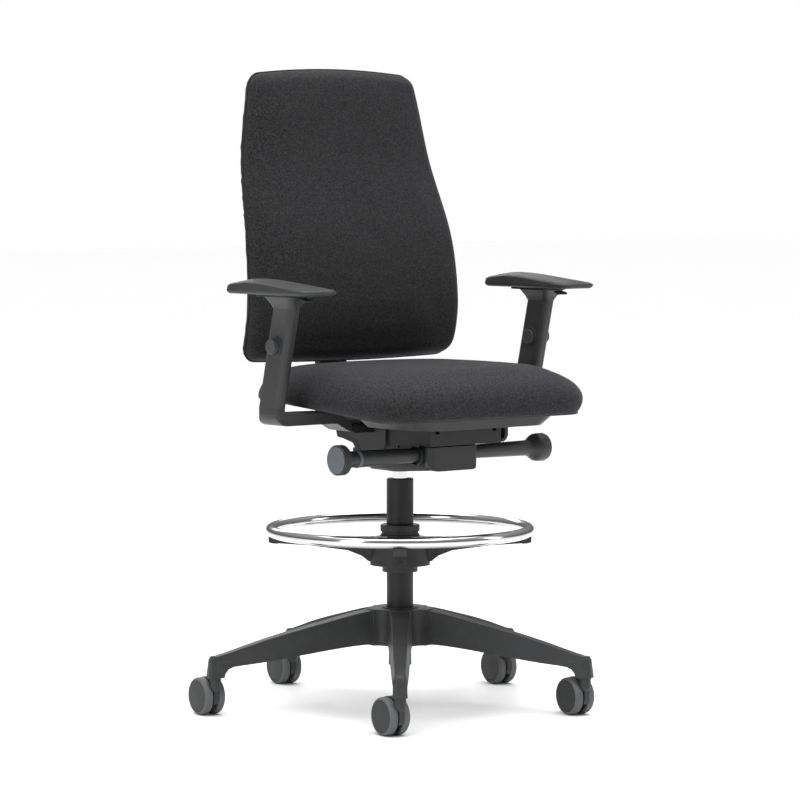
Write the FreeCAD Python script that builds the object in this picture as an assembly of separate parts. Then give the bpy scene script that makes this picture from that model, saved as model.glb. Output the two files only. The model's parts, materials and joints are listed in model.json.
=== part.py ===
import FreeCAD, Part
import math
import os

# Drafting chair.  Origin: on the floor, under the column's axis.  +Z is up, the sitter faces -Y.
# All sizes are in millimetres.  Everything above the casters is drawn from a level DATUM_Z below the floor
# and lowered to its place when it is written.
DATUM_Z = 7.0

# --- Base and casters ---
LEG_COUNT = 5
LEG_TURN = -39.5            # direction of the first leg, measured from -Y about +Z
STEM_CIRCLE_R = 355.6       # caster stems stand on this circle
HUB_TOP_Z = 193.5
HUB_BOTTOM_Z = 126.6
HUB_FILLET_R = 22.0
SOCKET_BOTTOM_Z = 78.0
CASTER_TURN = -5.65         # heading of every caster at rest; 0 trails towards +Y
WHEEL_R = 34.5
DISC_R = 31.0
WHEEL_WIDTH = 15.5
WHEEL_GAP = 11.0
CASTER_TRAIL = 30.0
STEM_R = 5.5
AXLE_R = 3.0

# --- Column, gas spring ---
TUBE_R = 25.0
TUBE_TOP_Z = 434.6
TUBE_BOTTOM_Z = 87.6
TUBE_FOOT_R = 21.4
CYLINDER_R = 14.0
CYLINDER_CONE_Z = 448.6
CYLINDER_TOP_Z = 505.0
ROD_R = 5.0
VALVE_R = 4.0

# --- Foot ring ---
RING_R = 239.0
RING_TUBE_R = 10.5
RING_Z = 339.0
RING_ARM_COUNT = 4
RING_ARM_TOP_Z = RING_Z - RING_TUBE_R

# --- Tilt mechanism ---
HOUSING_HALF_X = 54.0
HOUSING_FRONT_Y = -141.5
NOSE_FRONT_Y = -158.0
HOUSING_REAR_Y = 72.0
HOUSING_WALL = 4.5
LEVER_Y = -122.0
LEVER_Z = 488.0
SEAT_PIVOT = (-85.0, 514.0)     # Y, Z of the seat carrier's pin
BACK_PIVOT = (45.0, 476.0)      # Y, Z of the back carrier's pin
PIN_R = 6.0
SEAT_PIN_R = 5.0
RUNNING_GAP = 0.05              # radial clearance of a shaft in its bore
FREE_GAP = 0.4                  # clearance between parts that slide past each other

# --- Seat ---
SEAT_HALF_X = 245.0
SEAT_FRONT_Y = -283.0
SEAT_REAR_Y = 166.0
SEAT_CORNER_R = 70.0
SEAT_TOP_Z = 638.0
PAN_BOTTOM_Z = 541.0
CARRIER_TOP_Z = 539.0
CARRIER_HALF_X = 84.0
RAIL_X = 68.0

# --- Arms ---
ARM_X = 303.5
ARM_FOOT_Y = -6.6
ARM_SEAM_Z = 578.0
ARM_LEAN = math.radians(13.5)
ARM_SECTION_Y = 58.0
ARM_SECTION_X = 25.0
ARM_CORNER_R = 10.5
ARM_NECK_Z = 758.0
ARM_HEAD_Z = 779.0
PAD_X = 307.6
PAD_Y = -39.0
PAD_BOTTOM_Z = 782.8
PAD_TOP_Z = 804.0
PAD_LENGTH = 240.0
PAD_WIDTH = 80.0
BUTTON_Z = 690.0

# --- Backrest: (height, half width, Y of the front face) ---
BACK_STATIONS = [
    (652.0, 245.5, 130.0),
    (700.0, 247.5, 114.0),
    (765.0, 246.5, 106.5),
    (880.0, 240.5, 120.0),
    (1020.0, 220.5, 160.5),
    (1130.0, 201.0, 173.5),
    (1184.0, 188.5, 179.0),
]
BACK_CORNER_R = 30.0
CUSHION_DEPTH = 42.0
SHELL_DEPTH = 20.0
UPRIGHT_HALF_X = 32.0
UPRIGHT_FRONT_Y = 198.0
UPRIGHT_REAR_Y = 214.0
UPRIGHT_TOP_Z = 860.0


# ------------------------------------------------------------------ helpers
def vec(x, y, z):
    return FreeCAD.Vector(x, y, z)


def save(shape, node):
    """Write one node's solids to its own STEP file."""
    shape.exportStep("parts/" + node + ".step")


def box(x0, x1, y0, y1, z0, z1):
    return Part.makeBox(x1 - x0, y1 - y0, z1 - z0, vec(x0, y0, z0))


def rod_x(x0, x1, y, z, radius):
    return Part.makeCylinder(radius, x1 - x0, vec(x0, y, z), vec(1, 0, 0))


def rod_z(x, y, z0, z1, radius):
    return Part.makeCylinder(radius, z1 - z0, vec(x, y, z0))


def fuse(shapes):
    """Join shapes into one solid and merge their coplanar faces."""
    joined = shapes[0].fuse(shapes[1:]) if len(shapes) > 1 else shapes[0]
    return joined.removeSplitter()


def revolve(profile, axis_point=(0, 0, 0), axis=(0, 0, 1)):
    """Turn an (r, z) outline about Z, or an (r, x) outline laid along another axis."""
    face = Part.Face(Part.makePolygon([vec(r, 0, z) for r, z in profile + profile[:1]]))
    solid = face.revolve(vec(0, 0, 0), vec(0, 0, 1), 360)
    turn = FreeCAD.Rotation(vec(0, 0, 1), vec(*axis))
    solid.Placement = FreeCAD.Placement(vec(*axis_point), turn)
    return solid


def prism_yz(outline, x0, x1):
    """Extrude a (y, z) outline along X."""
    wire = Part.makePolygon([vec(x0, y, z) for y, z in outline + outline[:1]])
    return Part.Face(wire).extrude(vec(x1 - x0, 0, 0))


def prism_xz(outline, y0, y1):
    """Extrude an (x, z) outline along Y."""
    wire = Part.makePolygon([vec(x, y0, z) for x, z in outline + outline[:1]])
    return Part.Face(wire).extrude(vec(0, y1 - y0, 0))


def rounded_wire(x0, x1, y0, y1, z, radius):
    """A horizontal rectangle with rounded corners."""
    corners = [(x1 - radius, y1 - radius, 0), (x0 + radius, y1 - radius, 90),
               (x0 + radius, y0 + radius, 180), (x1 - radius, y0 + radius, 270)]
    edges = []
    arcs = [Part.makeCircle(radius, vec(cx, cy, z), vec(0, 0, 1), start, start + 90)
            for cx, cy, start in corners]
    for arc, following in zip(arcs, arcs[1:] + arcs[:1]):
        edges.append(arc)
        start = arc.Vertexes[-1].Point
        end = following.Vertexes[0].Point
        if start.distanceToPoint(end) > 1e-6:
            edges.append(Part.makeLine(start, end))
    return Part.Wire(edges)


def rounded_block(x0, x1, y0, y1, z0, z1, radius):
    face = Part.Face(rounded_wire(x0, x1, y0, y1, z0, radius))
    return face.extrude(vec(0, 0, z1 - z0))


def turned(shape, angle, centre=(0, 0, 0), axis=(0, 0, 1)):
    """A copy of the shape, turned by an angle in degrees."""
    copy = shape.copy()
    copy.rotate(vec(*centre), vec(*axis), angle)
    return copy


def mirrored(shape):
    """The other-hand copy, across the chair's middle plane."""
    return shape.mirror(vec(0, 0, 0), vec(1, 0, 0))


# ------------------------------------------------------------------ base
def leg_section(r, top_z, bottom_z, top_half, bottom_half):
    """A trapezoid across a leg that points along -Y, at distance r from the axis."""
    points = [vec(-bottom_half, -r, bottom_z), vec(bottom_half, -r, bottom_z),
              vec(top_half, -r, top_z), vec(-top_half, -r, top_z)]
    return Part.makePolygon(points + points[:1])


def base_leg():
    """One drafted leg with its tapered caster socket and a ribbed underside."""
    stations = [(20, HUB_TOP_Z, HUB_BOTTOM_Z, 18.0, 23.0), (60, 191.5, 129.5, 17.5, 22.5),
                (130, 177.0, 123.5, 15.5, 20.0), (200, 160.3, 113.5, 13.6, 18.0),
                (300, 133.0, 100.5, 11.0, 15.0), (352, 117.6, 98.5, 9.7, 13.4)]
    beam = Part.makeLoft([leg_section(*s) for s in stations], True, False)
    boot_rings = [(SOCKET_BOTTOM_Z, 13.6, -341.0, -370.5, 6.0), (111.0, 10.6, -345.0, -366.5, 5.0),
                  (117.5, 8.6, -347.0, -362.5, 4.0)]
    boot = [rounded_wire(-half, half, outer_y, inner_y, z, r) for z, half, inner_y, outer_y, r in boot_rings]
    boot = Part.makeLoft(boot, True, True)
    gusset = prism_yz([(-300, 100.5), (-324, 97.5), (-333, 93.5), (-339, 86), (-341, SOCKET_BOTTOM_Z),
                       (-355, SOCKET_BOTTOM_Z), (-355, 108), (-300, 108)], -13.0, 13.0)
    pockets = []
    for inner_r, outer_r, roof_z in ((66, 128, 170), (133, 205, 153), (210, 292, 129)):
        half = 15.0 - inner_r * 0.024
        pockets.append(box(-half, half, -outer_r, -inner_r, 80.0, roof_z))
    return beam.fuse([boot, gusset]).cut(Part.Compound(pockets))


def star_base():
    """Five-legged base: hub, legs with fillets between them, tapered bore and stem holes."""
    hub = rod_z(0, 0, HUB_BOTTOM_Z, HUB_TOP_Z, 61.2)
    fillet_distance = (20.0 + HUB_FILLET_R) / math.sin(math.pi / LEG_COUNT)
    step = 360.0 / LEG_COUNT
    valleys = []
    for k in range(LEG_COUNT):
        a = math.radians(LEG_TURN + (k + 0.5) * step)
        x = math.sin(a) * fillet_distance
        y = -math.cos(a) * fillet_distance
        valleys.append(rod_z(x, y, 100, 230, HUB_FILLET_R))
    hub = hub.cut(valleys)
    leg = base_leg()
    legs = [turned(leg, LEG_TURN + k * step) for k in range(LEG_COUNT)]
    collar = rod_z(0, 0, HUB_TOP_Z, HUB_TOP_Z + 2.2, 34.0)
    body = fuse([hub, collar] + legs)
    stems = [turned(rod_z(0, -STEM_CIRCLE_R, 70, 101, STEM_R + RUNNING_GAP), LEG_TURN + k * step)
             for k in range(LEG_COUNT)]
    return body.cut([column_outside()] + stems)


def column_outside():
    """The column's outer form, solid: a cylinder with a tapered foot."""
    return revolve([(0, TUBE_BOTTOM_Z), (TUBE_FOOT_R, TUBE_BOTTOM_Z), (TUBE_FOOT_R, 110),
                    (TUBE_R, 190), (TUBE_R, TUBE_TOP_Z), (0, TUBE_TOP_Z)])


def column_tube():
    chamfer = 1.2
    return revolve([(6, TUBE_BOTTOM_Z), (TUBE_FOOT_R, TUBE_BOTTOM_Z), (TUBE_FOOT_R, 110), (TUBE_R, 190),
                    (TUBE_R, TUBE_TOP_Z - chamfer), (TUBE_R - chamfer, TUBE_TOP_Z), (23.4, TUBE_TOP_Z),
                    (23.4, 200), (19.4, 112), (19.4, 91.6), (6, 91.6)])


def column_guide_bush():
    bore = CYLINDER_R + RUNNING_GAP
    return revolve([(bore, 330), (23.4, 330), (23.4, TUBE_TOP_Z - 0.6), (bore, TUBE_TOP_Z - 0.6)])


def thrust_bearing():
    """Two washers, a ring of balls between them, and the clip under the column's foot."""
    inner = ROD_R + RUNNING_GAP
    washers = [revolve([(inner, z), (14, z), (14, z + 2.4), (inner, z + 2.4)]) for z in (91.6, 98.4)]
    balls = []
    for k in range(9):
        a = math.radians(40 * k)
        balls.append(Part.makeSphere(2.15, vec(9.6 * math.cos(a), 9.6 * math.sin(a), 96.2)))
    clip = revolve([(inner, 85.2), (9, 85.2), (9, 87.4), (inner, 87.4)])
    return Part.Compound(washers + balls + [clip])


# ------------------------------------------------------------------ casters
def at_stem(shape, k):
    """Move a caster part from the origin to leg k's stem; all casters share one heading at rest."""
    a = math.radians(LEG_TURN + k * 360.0 / LEG_COUNT)
    copy = turned(shape, CASTER_TURN)
    copy.translate(vec(STEM_CIRCLE_R * math.sin(a), -STEM_CIRCLE_R * math.cos(a), 0))
    return copy


def caster_housing():
    """Rounded stem cover and the web between the wheels."""
    half_gap = WHEEL_GAP / 2 - FREE_GAP
    cover_r = 11.0
    cover_z = 54.0
    barrel = rod_z(0, 0, cover_z, SOCKET_BOTTOM_Z - DATUM_Z - FREE_GAP, cover_r)
    nose = Part.makeSphere(cover_r, vec(0, 0, cover_z))
    hood = rod_x(-half_gap, half_gap, CASTER_TRAIL, WHEEL_R, WHEEL_R + 1.0)
    hood = hood.cut(box(-20, 20, CASTER_TRAIL - 60, CASTER_TRAIL + 60, -20, 22))
    front_block = box(-half_gap, half_gap, -7, 8, 29, 60)
    body = fuse([barrel, nose, hood, front_block])
    reach = WHEEL_R + 0.8
    clear = [rod_x(s * WHEEL_GAP / 2 - (30 if s < 0 else 0) - s * FREE_GAP,
                   s * WHEEL_GAP / 2 + (30 if s > 0 else 0) - s * FREE_GAP, CASTER_TRAIL, WHEEL_R, reach)
             for s in (-1, 1)]
    axle_hole = rod_x(-20, 20, CASTER_TRAIL, WHEEL_R, AXLE_R)
    stem_hole = rod_z(0, 0, 49, 90, STEM_R)
    return body.cut(clear + [axle_hole, stem_hole])


def caster_pins():
    """Steel stem, pressed into the cover, and the axle through the web."""
    stem = revolve([(0, 49), (STEM_R, 49), (STEM_R, 90), (STEM_R - 1.2, 92), (0, 92)])
    axle = rod_x(-WHEEL_GAP / 2 - 11.5, WHEEL_GAP / 2 + 11.5, CASTER_TRAIL, WHEEL_R, AXLE_R)
    return Part.Compound([stem, axle])


def wheel_profile(side, outline):
    """Turn an (r, distance from the inner face) outline about the axle on one side."""
    start = side * WHEEL_GAP / 2
    return revolve(outline, (start, CASTER_TRAIL, WHEEL_R), (side, 0, 0))


def wheel_cores():
    bore = AXLE_R + RUNNING_GAP
    seat_r = DISC_R - 1.5
    outline = [(bore, 0), (seat_r, 0), (seat_r, WHEEL_WIDTH - 1.6), (seat_r - 1.2, WHEEL_WIDTH),
               (2.0, WHEEL_WIDTH + 0.8), (0, WHEEL_WIDTH + 0.8), (0, 12.0), (bore, 12.0)]
    return Part.Compound([wheel_profile(side, outline) for side in (-1, 1)])


def wheel_tyres():
    """Soft rings with a rounded shoulder and two shallow grooves round the tread."""
    r = WHEEL_R
    w = WHEEL_WIDTH
    inner_r = DISC_R - 1.5 + RUNNING_GAP
    outline = [(inner_r, 0.4), (r - 1.3, 0.4), (r, 2.2), (r, 4.8), (r - 0.8, 5.4), (r, 6.0), (r, 9.2),
               (r - 0.8, 9.8), (r - 0.1, 10.4), (r - 0.5, 12.2), (r - 1.4, 13.8), (r - 2.8, 15.0),
               (inner_r, w + 0.1)]
    return Part.Compound([wheel_profile(side, outline) for side in (-1, 1)])


# ------------------------------------------------------------------ foot ring
def foot_ring_tube():
    return Part.makeTorus(RING_R, RING_TUBE_R, vec(0, 0, RING_Z))


def foot_ring_hub():
    """Hub on the column with four arms that carry the ring from below."""
    bore = TUBE_R + RUNNING_GAP
    hub = revolve([(bore, 261.4), (33.0, 261.4), (33.0, 272.6), (56.0, 274.0), (50.0, 325.0), (31.0, 325.0),
                   (31.0, 345.0), (bore, 345.0)])
    side = [(-40, 275), (-60, 282), (-72, 290.5), (-97, 300.5), (-167, 309.5), (-236, 314.0), (-243, 316.0),
            (-244, RING_ARM_TOP_Z + 1.0), (-233, RING_ARM_TOP_Z), (-40, RING_ARM_TOP_Z - 3.0)]
    arm = prism_yz(side, -12.5, 12.5)
    rib_cuts = [box(x0, x1, -226, -62, 250, 318.0) for x0, x1 in ((-20, -4.0), (4.0, 20))]
    tread = box(-8.0, 8.0, -222, -64, RING_ARM_TOP_Z - 1.6, RING_ARM_TOP_Z + 5)
    arm = arm.cut(rib_cuts + [tread])
    arms = [turned(arm, LEG_TURN + 90 * k) for k in range(RING_ARM_COUNT)]
    ring_seat = Part.makeTorus(RING_R, RING_TUBE_R, vec(0, 0, RING_Z))
    body = fuse([hub] + arms).cut([rod_z(0, 0, 240, 360, bore), ring_seat])
    return body.cut(revolve([(30.9, 324.9), (40.0, 324.9), (40.0, 350.0), (31.0, 350.0)]))


def foot_ring_collar():
    """Clamp collar with a groove between its two flanges and finger flats round the upper one."""
    bore = 31.0 + RUNNING_GAP
    lip_r = TUBE_R + 0.4
    collar = revolve([(bore, 325.3), (36.5, 325.3), (36.5, 331.0), (34.0, 332.0), (34.0, 336.0),
                      (36.5, 337.0), (36.5, 348.0), (35.5, 349.0), (lip_r, 349.0), (lip_r, 345.5),
                      (bore, 345.5)])
    flutes = []
    for k in range(24):
        a = math.radians(15 * k)
        flutes.append(rod_z(37.6 * math.cos(a), 37.6 * math.sin(a), 337.5, 347.5, 1.8))
    return collar.cut(flutes)


# ------------------------------------------------------------------ gas spring
def piston_rod():
    """Rod with its shoulder above the thrust bearing and the piston at its top."""
    return revolve([(0, 83.0), (ROD_R, 83.0), (ROD_R, 100.9), (8.0, 100.9), (8.0, 106.0), (ROD_R, 106.0),
                    (ROD_R, 400.0), (11.95, 400.0), (11.95, 416.0), (0, 416.0)])


def gas_cylinder():
    """Polished cylinder with a tapered top, a rod seal below and a valve bore above."""
    cone_top_r = 12.6
    rod_bore = ROD_R + RUNNING_GAP
    valve_bore = VALVE_R + RUNNING_GAP
    return revolve([(rod_bore, 168.0), (CYLINDER_R, 168.0), (CYLINDER_R, CYLINDER_CONE_Z),
                    (cone_top_r, CYLINDER_TOP_Z), (valve_bore, CYLINDER_TOP_Z), (valve_bore, 438.0),
                    (12.0, 438.0), (12.0, 178.0), (rod_bore, 178.0)])


def valve_pin():
    return revolve([(0, 468.0), (VALVE_R, 468.0), (VALVE_R, 512.0), (VALVE_R - 0.8, 512.8), (0, 512.8)])


# ------------------------------------------------------------------ mechanism
def mechanism_housing():
    """Open cast pan with the column socket, pivot lugs and a boss round each lever."""
    front = HOUSING_FRONT_Y
    outer = [(front, 506), (front, 460), (-40, 452), (24, 452), (38, 456), (HOUSING_REAR_Y, 462),
             (HOUSING_REAR_Y, 490), (-50, 506)]
    inner = [(front + 5, 520), (front + 5, 465), (-40, 457), (24, 457), (38, 450), (90, 450), (90, 520)]
    wall = HOUSING_HALF_X - HOUSING_WALL
    shell = prism_yz(outer, -HOUSING_HALF_X, HOUSING_HALF_X).cut(prism_yz(inner, -wall, wall))
    shell = shell.common(prism_xz(chin_outline(HOUSING_HALF_X, 451.0, 16.0), front - 5, 100))
    socket = revolve([(10, CYLINDER_CONE_Z), (22, CYLINDER_CONE_Z), (24, 455), (22, 500), (10, 500)])
    pieces = [shell, socket]
    y, z = SEAT_PIVOT
    for s in (-1, 1):
        x0, x1 = sorted((s * (wall - 4), s * HOUSING_HALF_X))
        pieces.append(rod_x(x0, x1, y, z, 10.5))
        pieces.append(prism_yz([(y - 18, 500), (y + 18, 500), (y + 9, 519), (y - 9, 519)], x0, x1))
        x0, x1 = sorted((s * wall, s * 66.0))
        pieces.append(rod_x(x0, x1, LEVER_Y, LEVER_Z, 19.5))
        x0, x1 = sorted((s * wall, s * (HOUSING_HALF_X + 4)))
        pieces.append(rod_x(x0, x1, BACK_PIVOT[0], BACK_PIVOT[1], 13.0))
    body = fuse(pieces)
    cone = revolve([(0, 440), (CYLINDER_R, 440), (CYLINDER_R, CYLINDER_CONE_Z), (12.6, CYLINDER_TOP_Z),
                    (0, 506)])
    cuts = [cone, rod_x(-70, 70, y, z, SEAT_PIN_R), rod_x(-70, 70, BACK_PIVOT[0], BACK_PIVOT[1], PIN_R),
            rod_x(-70, 70, LEVER_Y, LEVER_Z, 12.5)]
    for s in (-1, 1):
        x0, x1 = sorted((s * 57.5, s * 80.0))
        cuts.append(rod_x(x0, x1, LEVER_Y, LEVER_Z, 16.6))
    return body.cut(cuts)


def chin_outline(half, bottom, radius):
    """Outline seen from the front: straight sides and rounded lower corners."""
    points = [(-half, 530.0)]
    for start, centre_x in ((180, -half + radius), (270, half - radius)):
        for k in range(7):
            a = math.radians(start + 15 * k)
            points.append((centre_x + radius * math.cos(a), bottom + radius + radius * math.sin(a)))
    points.append((half, 530.0))
    return points


def nose_cover():
    """Moulded cover on the front of the housing, with bevelled corners and a rounded chin."""
    half = 58.5
    bevel = 9.0
    rear = HOUSING_FRONT_Y - 0.3
    plan = [(-half, rear), (-half, NOSE_FRONT_Y + bevel), (-half + bevel, NOSE_FRONT_Y),
            (half - bevel, NOSE_FRONT_Y), (half, NOSE_FRONT_Y + bevel), (half, rear)]
    wire = Part.makePolygon([vec(x, y, 450) for x, y in plan + plan[:1]])
    block = Part.Face(wire).extrude(vec(0, 0, 53))
    block = block.common(prism_xz(chin_outline(half, 459.0, 18.0), NOSE_FRONT_Y - 5, rear + 5))
    hollow = prism_xz(chin_outline(half - 10.0, 463.0, 14.0), NOSE_FRONT_Y + 3.5, rear + 5)
    return block.cut(hollow.common(box(-80, 80, -200, 0, 440, 499.5)))


def pivot_pins():
    """Two stub pins for the seat carrier and one through pin for the back carrier."""
    y, z = SEAT_PIVOT
    stubs = [rod_x(45.6, 79.0, y, z, SEAT_PIN_R), rod_x(-79.0, -45.6, y, z, SEAT_PIN_R)]
    through = rod_x(-59.0, 59.0, BACK_PIVOT[0], BACK_PIVOT[1], PIN_R)
    return Part.Compound(stubs + [through])


def tilt_spring():
    """Compression spring that the back carrier works against."""
    turns = 7
    length = 82.0
    coil_r = 15.0
    helix = Part.makeHelix(length / turns, length, coil_r)
    wire_circle = Part.makeCircle(2.6, vec(coil_r, 0, 0), vec(0, 1, 0))
    sweep = Part.Wire(helix.Edges).makePipeShell([Part.Wire([wire_circle])], True, True)
    sweep.Placement = FreeCAD.Placement(vec(0, -132, 483), FreeCAD.Rotation(vec(0, 0, 1), vec(0, 1, 0)))
    return sweep


def height_lever():
    """Conical hollow lever on the sitter's right, with the bent wire that presses the valve."""
    wire_r = 2.8
    wire_x = -40.8
    rise = (wire_x, LEVER_Y + 14, 509.5)
    tube = revolve([(4.3, 44.0), (10.0, 44.0), (10.0, 60.0), (13.0, 60.0), (15.5, 198.0), (9.0, 198.0),
                    (9.0, 64.0), (4.3, 64.0)], (0, LEVER_Y, LEVER_Z), (-1, 0, 0))
    runs = [rod_between((-45, LEVER_Y, LEVER_Z + 9.0), rise, wire_r)]
    route = [rise, (wire_x, -30, 513.0), (0, 0, 515.9)]
    for a, b in zip(route, route[1:]):
        runs.append(rod_between(a, b, wire_r))
        runs.append(Part.makeSphere(wire_r, vec(*a)))
    runs.append(Part.makeSphere(wire_r, vec(*route[-1])))
    return Part.Compound([tube, fuse(runs)])


def rod_between(a, b, radius):
    start = vec(*a)
    direction = vec(*b).sub(start)
    return Part.makeCylinder(radius, direction.Length, start, direction)


def lever_ring():
    return revolve([(9.0, 198.0), (15.8, 198.0), (16.2, 199.0), (16.2, 203.0), (15.2, 204.0), (9.0, 204.0)],
                   (0, LEVER_Y, LEVER_Z), (-1, 0, 0))


def tension_knob():
    """Ribbed knob and neck, and the spindle that runs inside the lever."""
    body = revolve([(0, 206.0), (8.0, 206.0), (8.0, 204.4), (14.6, 204.4), (15.4, 226.0), (20.0, 231.0),
                    (26.6, 232.5), (27.3, 234.0), (27.3, 247.0), (26.0, 248.6), (24.4, 248.6),
                    (24.4, 246.6), (0, 246.6)],
                   (0, LEVER_Y, LEVER_Z), (-1, 0, 0))
    grooves = []
    for k in range(60):
        a = math.radians(6 * k)
        y = LEVER_Y + 27.7 * math.cos(a)
        z = LEVER_Z + 27.7 * math.sin(a)
        grooves.append(rod_x(-246.5, -234.5, y, z, 0.75))
    spindle = rod_x(-206.0, -46.0, LEVER_Y, LEVER_Z, 4.0)
    return Part.Compound([body.cut(grooves), spindle])


def tension_knob_cap():
    return revolve([(0, 246.6), (24.2, 246.6), (24.2, 249.0), (23.2, 250.0), (0, 250.0)],
                   (0, LEVER_Y, LEVER_Z), (-1, 0, 0))


def tilt_lock_lever():
    """Lever on the sitter's left that flares into a mushroom grip."""
    grip_r = 26.2
    return revolve([(0, 44.0), (10.0, 44.0), (10.0, 60.0), (12.4, 60.0), (14.4, 200.0), (15.4, 206.0),
                    (18.4, 212.0), (22.5, 218.0), (25.2, 223.0), (grip_r, 229.0), (grip_r, 230.0),
                    (grip_r - 0.5, 230.4), (grip_r, 230.8), (grip_r, 242.5), (24.7, 246.3), (21.2, 248.2),
                    (0, 248.2)],
                   (0, LEVER_Y, LEVER_Z), (1, 0, 0))


# ------------------------------------------------------------------ seat
def seat_carrier():
    """Inverted tray on the seat pin, with T-slots for the seat and a channel for each arm."""
    x = CARRIER_HALF_X
    plate = box(-x, x, -188, 112, 533, CARRIER_TOP_Z)
    front = box(-x, x, -188, -184, 508, 536)
    pieces = [plate, front]
    flange = [(-188, 508), (-150, 508), (-150, 505.5), (-96, 505.5), (-96, 500), (-72, 500), (-60, 512),
              (30, 516), (50, 528), (112, 528), (112, 536), (-188, 536)]
    for s in (-1, 1):
        x0, x1 = sorted((s * (x - 4), s * x))
        pieces.append(prism_yz(flange, x0, x1))
        x0, x1 = sorted((s * (RAIL_X - 11), s * (x - 4)))
        pieces.append(box(x0, x1, -184, 112, 524, 536))
        x0, x1 = sorted((s * x, s * 136.0))
        pieces.append(box(x0, x1, -34, 14, 526.5, 540.4))
        x0, x1 = sorted((s * 56.0, s * 80.0))
        pieces.append(rod_x(x0, x1, SEAT_PIVOT[0], SEAT_PIVOT[1], 11.0))
        pieces.append(prism_yz([(-96, 512), (-74, 512), (-70, 530), (-100, 530)], x0, x1))
    body = fuse(pieces)
    cuts = [rod_x(-79.2, 79.2, SEAT_PIVOT[0], SEAT_PIVOT[1], SEAT_PIN_R + RUNNING_GAP)]
    for s in (-1, 1):
        cuts.append(box(s * RAIL_X - 4.4, s * RAIL_X + 4.4, -200, 120, 530, 545))
        cuts.append(box(s * RAIL_X - 8.4, s * RAIL_X + 8.4, -180, 120, 527.6, 535.4))
        x0, x1 = sorted((s * (x - 3.9), s * 140.0))
        cuts.append(box(x0, x1, -30.4, 10.4, 528.9, 538.4))
    return body.cut(cuts)


def carrier_side_covers():
    """A cover on each side of the carrier; its lower edge steps up towards the rear."""
    lower = [(-66, 506), (-58, 491), (3, 491), (7, 495), (9, 507), (13, 510.5), (27, 513), (34, 516.5),
             (41, 526), (60, 528), (112, 529), (112, 540), (-66, 540)]
    right = prism_yz(lower, CARRIER_HALF_X + 0.3, CARRIER_HALF_X + 5.0)
    right = right.cut(box(80, 95, -34.2, 14.2, 526.2, 545))
    return Part.Compound([mirrored(right), right])


def seat_slide_rails():
    """Two T-section rails under the pan that run in the carrier's slots."""
    rails = []
    for s in (-1, 1):
        neck = box(s * RAIL_X - 4.0, s * RAIL_X + 4.0, -120, 112, 532, PAN_BOTTOM_Z)
        head = box(s * RAIL_X - 8.0, s * RAIL_X + 8.0, -120, 112, 528, 535.0)
        rails.append(fuse([neck, head]))
    return Part.Compound(rails)


def cushion_underside(lift):
    """(y, z) line of the cushion's underside, raised by a given amount."""
    line = [(-300, 558), (-219, 559), (-67, 571), (-8, 575), (60, 580), (180, 580)]
    return [(y, z + lift) for y, z in line]


def seat_pan():
    """Dished plastic pan: a plate under the cushion, a hollow front tub and a hollow middle keel."""
    inset = 14.0
    half_x = SEAT_HALF_X - inset
    plan = rounded_block(-half_x, half_x, SEAT_FRONT_Y + inset, SEAT_REAR_Y - inset, 520, 600,
                         SEAT_CORNER_R - inset)
    outline = cushion_underside(0) + list(reversed(cushion_underside(5)))
    plate = plan.common(prism_yz(outline, -300, 300))
    under = prism_yz([(-300, 500)] + cushion_underside(2) + [(180, 500)], -300, 300)
    tub = pan_tub(0.0, PAN_BOTTOM_Z).cut(pan_tub(4.0, PAN_BOTTOM_Z + 4.0))
    keel = box(-80, 80, -75, 118, PAN_BOTTOM_Z, 590).cut(box(-76, 76, -80, 130, PAN_BOTTOM_Z + 4, 600))
    return plate.fuse([tub.common(under), keel.common(under)])


def pan_tub(wall, bottom_z):
    """The tub's form under the front of the seat, drawn in by a wall thickness; its rear is open."""
    front_y = SEAT_FRONT_Y + 16.0 + wall
    rear_y = -62.0 + wall * 0.5
    top = rounded_wire(-214 + wall, 214 - wall, front_y, rear_y, 590, 44 - wall)
    low = rounded_wire(-150 + wall, 150 - wall, front_y + 16, rear_y, bottom_z, 44 - wall)
    tub = Part.makeLoft([low, top], True, True)
    return tub.common(box(-300, 300, -400, -75 + wall * 0.5, 500, 600))


def seat_cushion():
    """Seat foam: a thick pad with a rounded front, closed all round."""
    block = rounded_block(-SEAT_HALF_X, SEAT_HALF_X, SEAT_FRONT_Y, SEAT_REAR_Y, 540, SEAT_TOP_Z,
                          SEAT_CORNER_R)
    rim = [e for e in block.Edges if e.BoundBox.ZMin > SEAT_TOP_Z - 1]
    block = block.makeFillet(30.0, rim)
    below = prism_yz([(-320, 500)] + cushion_underside(5.3) + [(180, 500)], -320, 320)
    return block.cut(below)


def seat_depth_lever():
    """Hooked pull under the seat's left side that frees the seat slide."""
    outline = [(90.0, 538.6), (103.0, 538.6), (103.0, 520.0), (99.0, 513.0), (92.0, 509.0), (88.0, 509.0),
               (88.0, 514.5), (91.5, 515.0), (94.5, 518.0), (96.0, 523.0), (96.0, 534.5), (90.0, 534.5)]
    return prism_xz(outline, -186, -152)


# ------------------------------------------------------------------ arms (built on the +X side)
def arm_axis_y(z):
    """Y of the arm's centre line at a height."""
    return ARM_FOOT_Y - (z - ARM_SEAM_Z) * math.tan(ARM_LEAN)


def oval_wire(z, length, width, centre_y):
    """A flat oval across the arm, its long side along Y."""
    radius = min(width * 0.42, ARM_CORNER_R)
    half_x = width / 2
    half_y = length / 2
    return rounded_wire(ARM_X - half_x, ARM_X + half_x, centre_y - half_y, centre_y + half_y, z, radius)


def oval_column(z0, z1, length, width):
    """A leaning column between two heights."""
    wires = [oval_wire(z, length, width, arm_axis_y(z)) for z in (z0, z1)]
    return Part.makeLoft(wires, True, True)


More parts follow.
